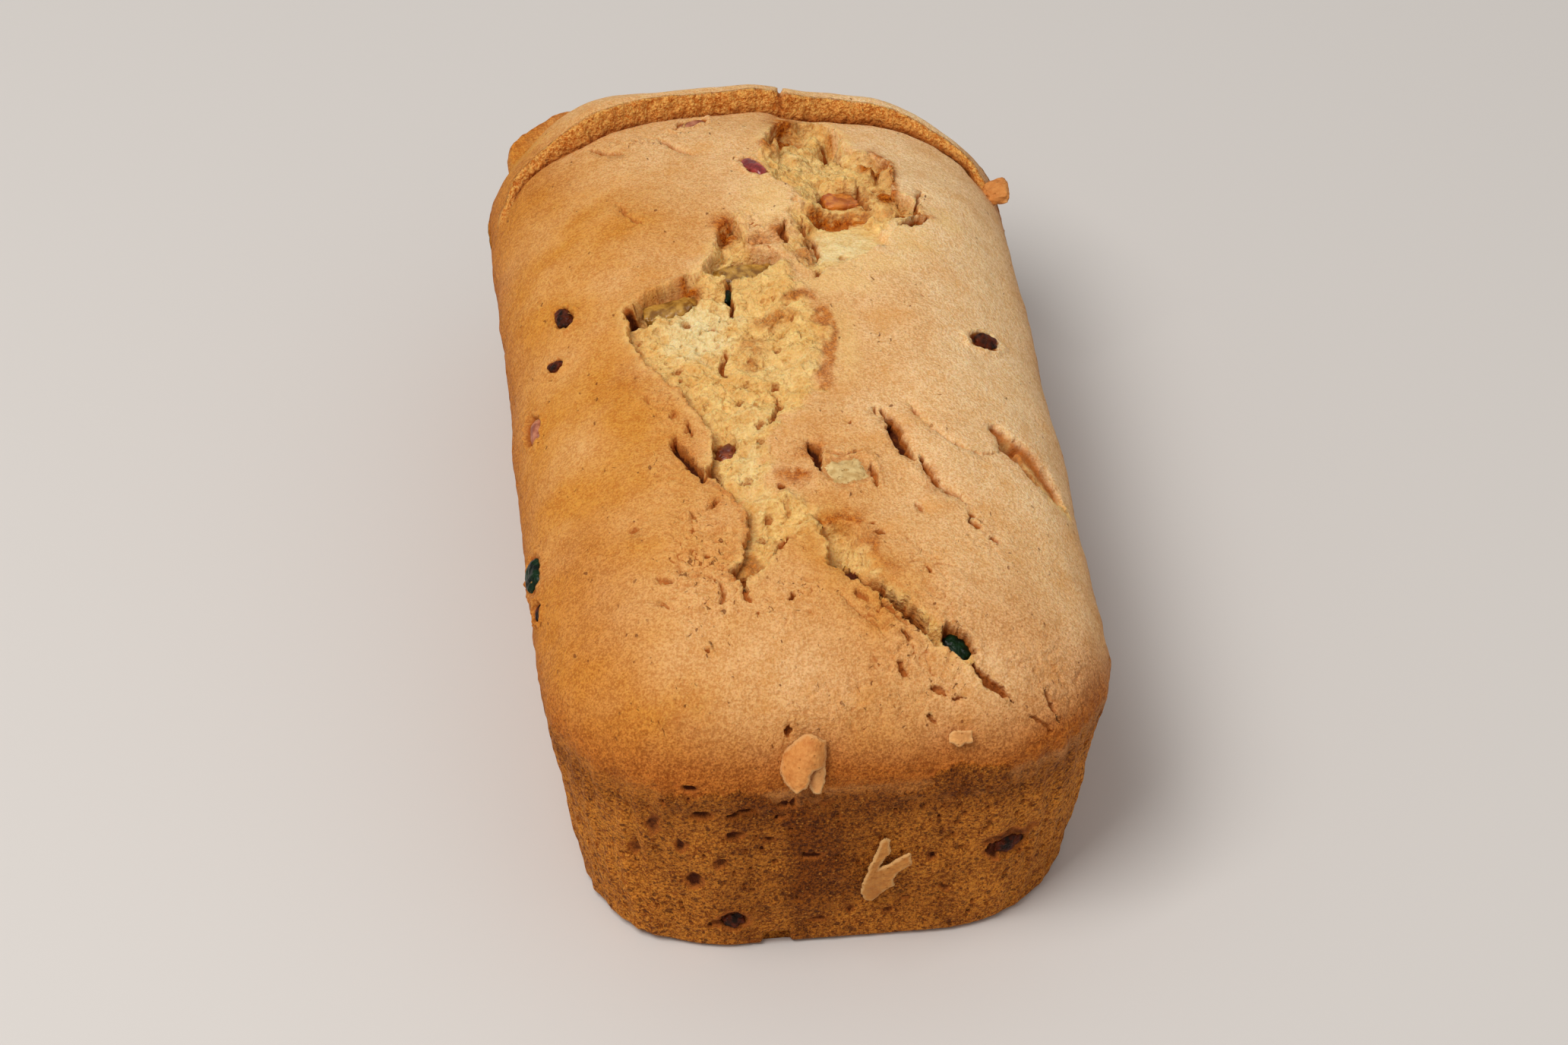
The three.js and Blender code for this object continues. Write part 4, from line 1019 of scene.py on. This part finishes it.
# Toasted patches, flaky stains, and painted shade just inside the tears' sharp lips.
toast_and_lip_shade_colour = side_tone.shade(TOAST_AND_LIP_SHADE)
stain_and_lip_shade = marks["toast"] * w.mottle(2.4, 4.0).step(0.26, 0.52)
stain_and_lip_shade = stain_and_lip_shade + marks["flaky"] * w.mottle(2.0, 3.0).step(0.55, 0.7) * 0.4
colour = stain_and_lip_shade.clip().blend(colour, toast_and_lip_shade_colour)
colour = marks["face"].blend(colour, side_tone.shade(LIP_FACE_GOLD))
wall_specks = w.speckle(0.85).step(0.34, 0.12) * w.mottle(2.4, 2.0).step(0.4, 0.6) * rough_side
colour = (wall_specks * 0.6).blend(colour, WALL_SPECK)
# Painted shade in the pores of the sides.
colour = (holes * 0.7).clip().blend(colour, PIT_SHADE)
# The specks' own colour, and painted shade in the hairline cracks.
colour = (specks_and_crack_shade * 0.75).clip().blend(colour, SPECK_AND_CRACK_SHADE)
# Painted shade: cracks, pits, pores and gaps turn brown, and the deepest turn dark brown.
shade_in_pits = marks["pit"] + (fine - 0.5) * 0.8 * marks["pit"]
colour = shade_in_pits.step(0.0, 0.55).blend(colour, CRACK_SHADE)
colour = shade_in_pits.step(0.5, 1.0).blend(colour, PIT_SHADE)

relief_mm = cloud * 0.3 + fine * 0.32 + dust * 0.34 + rough_side * (fine * 0.5 + dust * 0.45)
fluff = w.mottle(1.3, 6.0) * 0.8 + (0.8 - w.speckle(1.05, warped)) * 0.3
relief_mm = relief_mm + (marks["fluffy"] + marks["face"] * 0.6).clip() * fluff
relief_mm = relief_mm - specks_and_crack_shade * 0.3 - holes * 0.5
bump = w.relief(relief_mm)
wire_up(crust_shader, Base_Color=colour, Roughness=0.62 + marks["crumb"] * 0.25 + fine * 0.15, Normal=bump)
crust_shader.inputs["Specular IOR Level"].default_value = CRUST_SHINE
crust_shader.inputs["Subsurface Weight"].default_value = GLOW
crust_shader.inputs["Subsurface Radius"].default_value = GLOW_OF_COLOURS
crust_shader.inputs["Subsurface Scale"].default_value = GLOW_DEPTH


def bell(x0, y0, reach_x, reach_y):
    """A soft round spot in plan: e to the minus squared distance from its middle, in reaches."""
    return np.exp(-((px - x0) / reach_x) ** 2 - ((py - y0) / reach_y) ** 2)


# Where the crust is paler: most on the right and far half, least at the near rim. It is partly the crust's
# own paler tone, and on the right side partly painted light and sheen.
pale = 0.1 + 0.35 * smooth((px + 36 + 5 * noise(loaf_points, 20, 23)) / 34) + 0.3 * smooth((px - 4) / 22)
pale += 0.35 * smooth((px - 30) / 20) * smooth((py + 60) / 40)
pale += 0.2 * smooth((py + 10) / 30) * smooth((px - 12) / 15)
pale += 0.25 * smooth((-60 - py) / 20) * smooth((20 - px) / 30) * smooth((px + 42) / 20)
pale += 0.3 * smooth((px - 26) / 12) * smooth((py + 30) / 30) - 0.3 * smooth((-88 - py) / 14)
for spot, much in (
    ((6, -64, 18, 16), -0.35), ((5, -80, 16, 12), -0.3), ((29, 8, 10, 12), -0.2),
    ((1, 44, 10, 16), 0.4), ((40, 34, 12, 14), 0.3),
):
    pale += much * bell(*spot)
pale = np.where(py > 30, np.maximum(pale, 0.6 * smooth((py - 30) / 50) * smooth((px + 50) / 30)), pale)

# Where it baked brownest: low on the shoulder, and most at the near end and on the left.
shoulder_low = smooth((62 + 2 * noise(loaf_points, 12, 57) - pz) / 16) * is_top * (1 - crumb)
near_part, left_part = smooth((-70 - py) / 25), smooth((-20 - px) / 25)
baked = shoulder_low * np.clip(0.35 + 0.6 * near_part + 0.25 * left_part, 0, 0.95)
left_corners = smooth((-30 - py) / 25) + smooth((py - 50) / 20)
baked = np.maximum(baked, 0.4 * smooth((-28 - px) / 20) * left_corners * is_top)
baked += (0.3 * bell(36, -84, 12, 12) + 0.15 * bell(4, -90, 20, 10)) * is_top
baked *= py < 84
fluffy = np.zeros(len(loaf_points))
fluffy[on_top] = bare * np.clip(roughness, 0, 1)

# The sides, and how brown they are: most in the middle of the near end, and under the rim, where it is
# partly browner crust and partly painted shade.
side_shade = smooth((RIM_HEIGHT + 9 - pz) / 19) * (side_share > 0)
side_shade = np.maximum(side_shade, skin * smooth((pz - 39) / 2))
near_face = np.exp(-((px + 3) / 13) ** 2) * (py < -80)
brown = 0.1 + 0.72 * near_face * (1 - 0.8 * smooth((16 - pz) / 10)) + 0.5 * smooth((pz - 33) / 8) * (pz < 50)
for x0, width in ((-20, 3.5), (-8, 2.5), (20, 3)):
    brown += 0.34 * np.exp(-((px - x0 + 2 * noise(loaf_points, 14, 58)) / width) ** 2) * (py < -80)
loaf = make_piece("loaf_baked", shape, (loaf_quads, loaf_fan), crust, {
    "crumb": crumb, "white": white, "toast": toast, "pit": pit, "side": side_shade,
    "pale": pale, "face": lip_face, "thin": thin, "brown": brown, "flaky": flaky, "baked": baked,
    "fluffy": fluffy,
})
triangles = 2 * len(loaf_quads) + len(loaf_fan)
if triangles > MOST_TRIANGLES:
    # Plain crust is thinned out first, and what is torn, cracked or flaky keeps its detail.
    detail = np.maximum.reduce([crumb, 2 * pit, thin, flaky, lip_face, 2 * (skin * (1 - skin))])
    plain = loaf.vertex_groups.new(name="plain")
    plain.add(np.flatnonzero(detail <= 0.1).tolist(), 1.0, "REPLACE")
    plain.add(np.flatnonzero(detail > 0.1).tolist(), 0.5, "REPLACE")
    thinner = loaf.modifiers.new("thinner", "DECIMATE")
    thinner.ratio = MOST_TRIANGLES / triangles
    thinner.vertex_group = "plain"
    thinner.vertex_group_factor = DETAIL_KEPT
    thinned_loaf = loaf.evaluated_get(bpy.context.evaluated_depsgraph_get())
    settled = bpy.data.meshes.new_from_object(thinned_loaf)
    loaf.modifiers.clear()
    loaf.data = settled
    loaf.vertex_groups.clear()
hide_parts("loaf")
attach(loaf, "root")

# ---------------------------------------------------------------------------------------------
# The fruit.
# Dried cherries and a raisin, wrinkled and dark; candied cherry, peel, papaya, melon and
# angelica, which were cut into blocks and look like dull glass where the crumb leaves them bare.


def ball(rings, spokes):
    """A unit sphere of quads with a fan at each pole."""
    polar = np.linspace(0, math.pi, rings + 1)[1:-1, None]
    round_it = np.linspace(0, 2 * math.pi, spokes, endpoint=False)
    body = np.stack(np.broadcast_arrays(
        np.sin(polar) * np.cos(round_it), np.sin(polar) * np.sin(round_it), np.cos(polar)), -1)
    points = np.concatenate([body.reshape(-1, 3), [[0, 0, 1], [0, 0, -1]]])
    index = np.arange(len(points) - 2).reshape(rings - 1, spokes)
    after = np.roll(index, -1, 1)
    quads = np.stack([index[:-1], index[1:], after[1:], after[:-1]], -1).reshape(-1, 4)
    top = np.stack([np.full(spokes, len(points) - 2), index[0], after[0]], 1)
    bottom = np.stack([np.full(spokes, len(points) - 1), after[-1], index[-1]], 1)
    return points, (quads, np.concatenate([top, bottom]))


def fitted(points, node):
    """The points stretched along x, y and z until they fill the box of a node."""
    low, high = box_mm(node)
    least, most = points.min(0), points.max(0)
    return low + (points - least) / (most - least) * (high - low)


def stand_in_for(piece, node):
    """Hides the CAD model's part of the node that a piece stands in for, and hangs the piece on the root
    body.
    """
    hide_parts(node)
    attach(piece, "root")


CLINGING_CRUMB = srgb(226, 172, 96)


def fruit_finish(name, light, dark, roughness, coat, dusting):
    """Fruit flesh of two mixed colours, under a coat of syrup and some clinging crumbs."""
    material, shader, w = new_finish(name)
    flesh = w.mottle(2.2, 4.0).step(0.36, 0.64).blend(dark, light)
    crumbs = (w.mottle(1.6, 4.0) + w.mark("crumbed") * 0.35).step(0.72 - dusting, 0.8 - dusting)
    bump = w.relief(w.mottle(1.1, 4.0) * 0.35 + crumbs * 0.3 + w.mottle(2.6, 2.0) * 0.5)
    wire_up(
        shader, Base_Color=crumbs.blend(flesh, CLINGING_CRUMB), Roughness=roughness + crumbs * 0.5,
        Coat_Weight=(1 - crumbs) * coat, Normal=bump)
    shader.inputs["Specular IOR Level"].default_value = 0.4 if coat > 0.1 else 0.1
    return material


DRIED = fruit_finish("dried cherry", srgb(90, 33, 8), srgb(28, 11, 3), 0.5, 0.06, 0.05)
RED = fruit_finish("candied cherry", srgb(182, 64, 56), srgb(112, 26, 26), 0.3, 0.4, 0.06)
ROSE = fruit_finish("browned cherry", srgb(196, 124, 88), srgb(140, 64, 36), 0.4, 0.2, 0.1)
DARK_ROSE = fruit_finish("baked cherry", srgb(156, 74, 30), srgb(96, 34, 8), 0.38, 0.2, 0.1)
PEEL = fruit_finish("candied peel", srgb(190, 142, 60), srgb(128, 84, 24), 0.3, 0.3, 0.06)
PAPAYA = fruit_finish("candied papaya", srgb(216, 128, 46), srgb(168, 80, 22), 0.3, 0.3, 0.04)
MELON = fruit_finish("candied melon", srgb(222, 192, 132), srgb(192, 154, 94), 0.5, 0.1, 0.12)
GREEN = fruit_finish("candied green cherry", srgb(14, 42, 20), srgb(4, 13, 6), 0.34, 0.08, 0.05)

# The finish of each piece, its slot, how round it is (less than 1 is squarer) and how wrinkled.
FRUIT_LOOKS = {
    "dried_cherry_left": (DRIED, "dark_fruit", 0.9, 0.3),
    "dried_cherry_left_small": (DRIED, "dark_fruit", 0.9, 0.3),
    "dried_cherry_right": (DRIED, "dark_fruit", 0.9, 0.26),
    "red_cherry_far": (RED, "red_fruit", 0.85, 0.12),
    "pink_cherry_far": (ROSE, "red_fruit", 0.85, 0.12),
    "papaya_chunk": (PAPAYA, "amber_fruit", 0.3, 0.16),
    "peel_strip_far": (PEEL, "amber_fruit", 0.45, 0.12),
    "peel_strip_left": (PEEL, "amber_fruit", 0.45, 0.12),
    "angelica_bit": (GREEN, "green_fruit", 0.6, 0.1),
    "cherry_in_tear": (DARK_ROSE, "red_fruit", 0.9, 0.25),
    "melon_chunk": (MELON, "amber_fruit", 0.42, 0.2),
    "green_cherry_near": (GREEN, "green_fruit", 0.7, 0.16),
    "green_cherry_side": (GREEN, "green_fruit", 0.6, 0.1),
    "pink_fruit_side": (ROSE, "red_fruit", 0.9, 0.12),
    "cherry_side_near": (DRIED, "red_fruit", 0.9, 0.2),
    "dark_cherry_front": (DRIED, "dark_fruit", 0.9, 0.35),
    "raisin_front": (DRIED, "dark_fruit", 0.9, 0.35),
}
ball_points, ball_faces = ball(56, 96)
for seed, (node, (finish, slot, roundness, wrinkle)) in enumerate(FRUIT_LOOKS.items()):
    lies_along, half_length, half_width, _ = FRUIT[node]
    middle, along, across, out, _ = resting_place(node, lies_along)
    half = np.array([half_length, half_width, 0.5 * (half_length + half_width) * 0.7])
    points = np.sign(ball_points) * np.abs(ball_points) ** roundness * half
    folds = np.abs(noise(points, 2.2, 40 + seed)) + 0.5 * np.abs(noise(points, 1.0, 60 + seed))
    points *= 1 + wrinkle * (folds - 0.4)[:, None] + 0.12 * noise(points, 5, 80 + seed)[:, None]
    low_down = smooth(0.25 - points[:, 2] / half[2])
    points = fitted(points @ np.stack([along, across, out]), node)
    stand_in_for(make_piece(node, points, ball_faces, finish, {"crumbed": low_down}), node)

# ---------------------------------------------------------------------------------------------
# The flakes.
# Thin pieces of crust that broke off and cling to the outside: a forked one and a curled one at
# the near end, a small one above them, and a rough crumb at the far right.


def plate(outline, spacing, thickness, bend):
    """A flake of crust over an outline. Its sheet lies at the height that bend gives for u and v,
    and its two sides draw together at the torn edge like half an ellipse."""
    corners = np.array(outline)
    low, high = corners.min(0) - spacing, corners.max(0) + spacing
    counts = np.rint((high - low) / spacing).astype(int)
    u, v = np.meshgrid(*(np.linspace(a, b, n + 1) for a, b, n in zip(low, high, counts)))
    flat = np.stack([u.ravel(), v.ravel(), 0 * u.ravel()], 1)
    ragged_u = flat[:, 0] + 0.25 * noise(flat, 1.1, 41)
    ragged_v = flat[:, 1] + 0.25 * noise(flat, 1.1, 42)
    inside = inside_by(ragged_u, ragged_v, outline) + 0.25
    half = thickness / 2 * np.sqrt(1 - (1 - np.clip(inside / 0.5, 0, 1)) ** 2)
    half *= 1 + 0.25 * noise(flat, 1.6, 43)
    sheet = bend(flat[:, 0], flat[:, 1]) + 0.12 * noise(flat, 2.4, 44)
    index = np.arange(len(flat)).reshape(v.shape)
    cells = np.stack([index[:-1, :-1], index[:-1, 1:], index[1:, 1:], index[1:, :-1]], -1).reshape(-1, 4)
    cells = cells[(inside[cells] > 0).any(1)]
    used, cells = np.unique(cells, return_inverse=True)
    cells = cells.reshape(-1, 4)
    flat, half, sheet, inside = flat[used], half[used], sheet[used], inside[used]
    upper = np.stack([flat[:, 0], flat[:, 1], sheet + half], 1)
    lower = np.stack([flat[:, 0], flat[:, 1], sheet - half], 1)
    rim = inside <= 0
    lower_index = np.where(rim, np.arange(len(used)), np.arange(len(used)) + len(used))
    below = lower_index[cells][:, ::-1]
    points = np.concatenate([upper, lower])
    edge = smooth(1 - np.maximum(np.concatenate([inside, inside]), 0) / 0.7)
    kept, quads = np.unique(np.concatenate([cells, below]), return_inverse=True)
    return points[kept], quads.reshape(-1, 4), edge[kept]


FLAKE_TAN = srgb(214, 148, 74), srgb(182, 110, 44)
FLAKE_GOLD = srgb(226, 156, 84), srgb(190, 112, 48)
FLAKE_PALE = srgb(244, 212, 150)


def flake_finish(name, colours, edge_share):
    """Dry crust with a fine grain, paler where it broke."""
    material, shader, w = new_finish(name)
    tone = (0.5 + (w.mottle(2.5, 3.0) - 0.5) * 1.4 + (w.mottle(0.7, 3.0) - 0.5) * 1.2).clip()
    colour = (w.mark("edge") * edge_share).blend(tone.shade(colours), FLAKE_PALE)
    dots = w.speckle(1.3).step(0.2, 0.1) * 0.5
    bump = w.relief(w.mottle(0.9, 4.0) * 0.45 - dots * 0.3)
    wire_up(shader, Base_Color=dots.blend(colour, colours[1]), Roughness=0.65 + dots, Normal=bump)
    shader.inputs["Specular IOR Level"].default_value = 0.2
    return material


TAN_FLAKE = flake_finish("tan flake", FLAKE_TAN, 0.35)
GOLD_FLAKE = flake_finish("golden flake", FLAKE_GOLD, 0.8)
FLAKE_SPACING = 0.16


def add_flake(name, node, points, faces, finish, edge):
    """A flake that stands in for a node of the CAD model. edge is how pale each point is."""
    stand_in_for(make_piece(name, points, (faces,), finish, {"edge": edge}), node)


forked, forked_faces, forked_edge = plate([
    (-3.8, -8.6), (-4.9, -6), (-4.6, -3.5), (-3.8, -1), (-3.4, 1.2), (-2.2, 4.2), (-1.2, 7.2),
    (-0.6, 8.8), (0.4, 8.2), (0.2, 6.2), (0.4, 4.8), (-0.6, 3.6), (-1.6, 1.6), (-1.8, 0.2), (0.4, 1.4),
    (2.6, 3.2), (4.2, 4.4), (4.6, 3.2), (4.8, 1.6), (3.4, 0.8), (1.8, -0.8), (1.2, -2.6), (1.4, -4.8),
    (-0.4, -6.2), (-1.4, -7.6), (-2.6, -8.8),
], FLAKE_SPACING, 0.9, lambda u, v: 0.25 * np.cos(v / 3) + 0.1 * np.abs(u + 1))
lean = (RIM_HALF[1] - BASE_HALF[1]) / RIM_HEIGHT
forked = np.stack([forked[:, 0], -forked[:, 2] - lean * forked[:, 1], forked[:, 1]], 1)
forked = fitted(forked, "crust_flake_forked")
add_flake("flake_forked", "crust_flake_forked", forked, forked_faces, TAN_FLAKE, forked_edge)

petal, petal_faces, petal_edge = plate([
    (0.8, 6.2), (2, 5.8), (3.1, 5), (4.4, 4.4), (4.3, 1.3), (3.8, -0.9), (2.1, -1.4), (1.3, -1.4),
    (0.7, -2.6), (0.3, -4.3), (-0.3, -5.2), (-1.2, -5.8), (-1.8, -6.2), (-2.5, -5.5), (-3.4, -4.5),
    (-4.1, -2.8), (-4.4, -0.9), (-4, 0.9), (-4.1, 1.9), (-3.1, 3), (-1.8, 4.2), (-0.3, 5.5),
], FLAKE_SPACING, 1.1, lambda u, v: 3.4 - 0.22 * (u - 0.8 - 0.2 * v) ** 2 - 0.04 * v ** 2)
chip, chip_faces, chip_edge = plate([
    (3.7, -1.2), (4, -2.6), (3.4, -5), (2.5, -6.8), (1.6, -6.5), (1, -4.6), (1.5, -2.8), (2.3, -1.7),
], FLAKE_SPACING, 1.0, lambda u, v: 1.6 - 0.35 * (u - 2.6) ** 2 + 0.12 * v)
curled = np.concatenate([petal, chip])
curled_faces = np.concatenate([petal_faces, chip_faces + len(petal)])
curled_edge = np.concatenate([0.4 * petal_edge, np.maximum(0.6 * chip_edge, 0.2)])
# Right, up along the near shoulder, and out of it.
SHOULDER_DIRECTIONS = [(1, 0, 0), (0, 0.6, 0.8), (0, -0.8, 0.6)]
curled = fitted(curled @ np.array(SHOULDER_DIRECTIONS), "crust_flake_curled")
add_flake("flake_curled", "crust_flake_curled", curled, curled_faces, GOLD_FLAKE, curled_edge)

small, small_faces, small_edge = plate([
    (-2, -0.6), (-1.8, 0.8), (-0.9, 1.5), (0.4, 1.2), (1.9, 1.1), (1.6, 0), (2, -0.7), (0.8, -0.8),
    (-0.2, -1.5), (-0.9, -0.9),
], FLAKE_SPACING, 0.8, lambda u, v: 0.12 * u + 0.1 * v * v)
_, right, up, out, _ = resting_place("crust_flake_small", (1, 0, 0))
small = fitted(small @ np.stack([right, up, out]), "crust_flake_small")
small_edge = np.maximum(0.4 * small_edge, 0.15)
add_flake("flake_small", "crust_flake_small", small, small_faces, GOLD_FLAKE, small_edge)

CRUMB_ROOT = 2.4  # how far the crumb's inner side reaches into the loaf
crumb_bumps = 1 + 0.22 * noise(ball_points, 0.7, 45) + 0.12 * noise(ball_points, 0.3, 46)
far_crumb = ball_points * crumb_bumps[:, None]
far_crumb = fitted(np.sign(far_crumb) * np.abs(far_crumb) ** 0.7, "crust_crumb_far")
rooted = smooth((np.mean(box_mm("crust_crumb_far"), 0)[0] - far_crumb[:, 0]) / 2)
far_crumb[:, 0] -= CRUMB_ROOT * rooted
far_crumb[:, 2] -= 0.25 * rooted * (far_crumb[:, 2] - far_crumb[:, 2].min())
stand_in_for(make_piece("crumb_far", far_crumb, ball_faces, GOLD_FLAKE, {
    "edge": 0.6 * smooth(noise(ball_points, 0.8, 47) - 0.3)}), "crust_crumb_far")
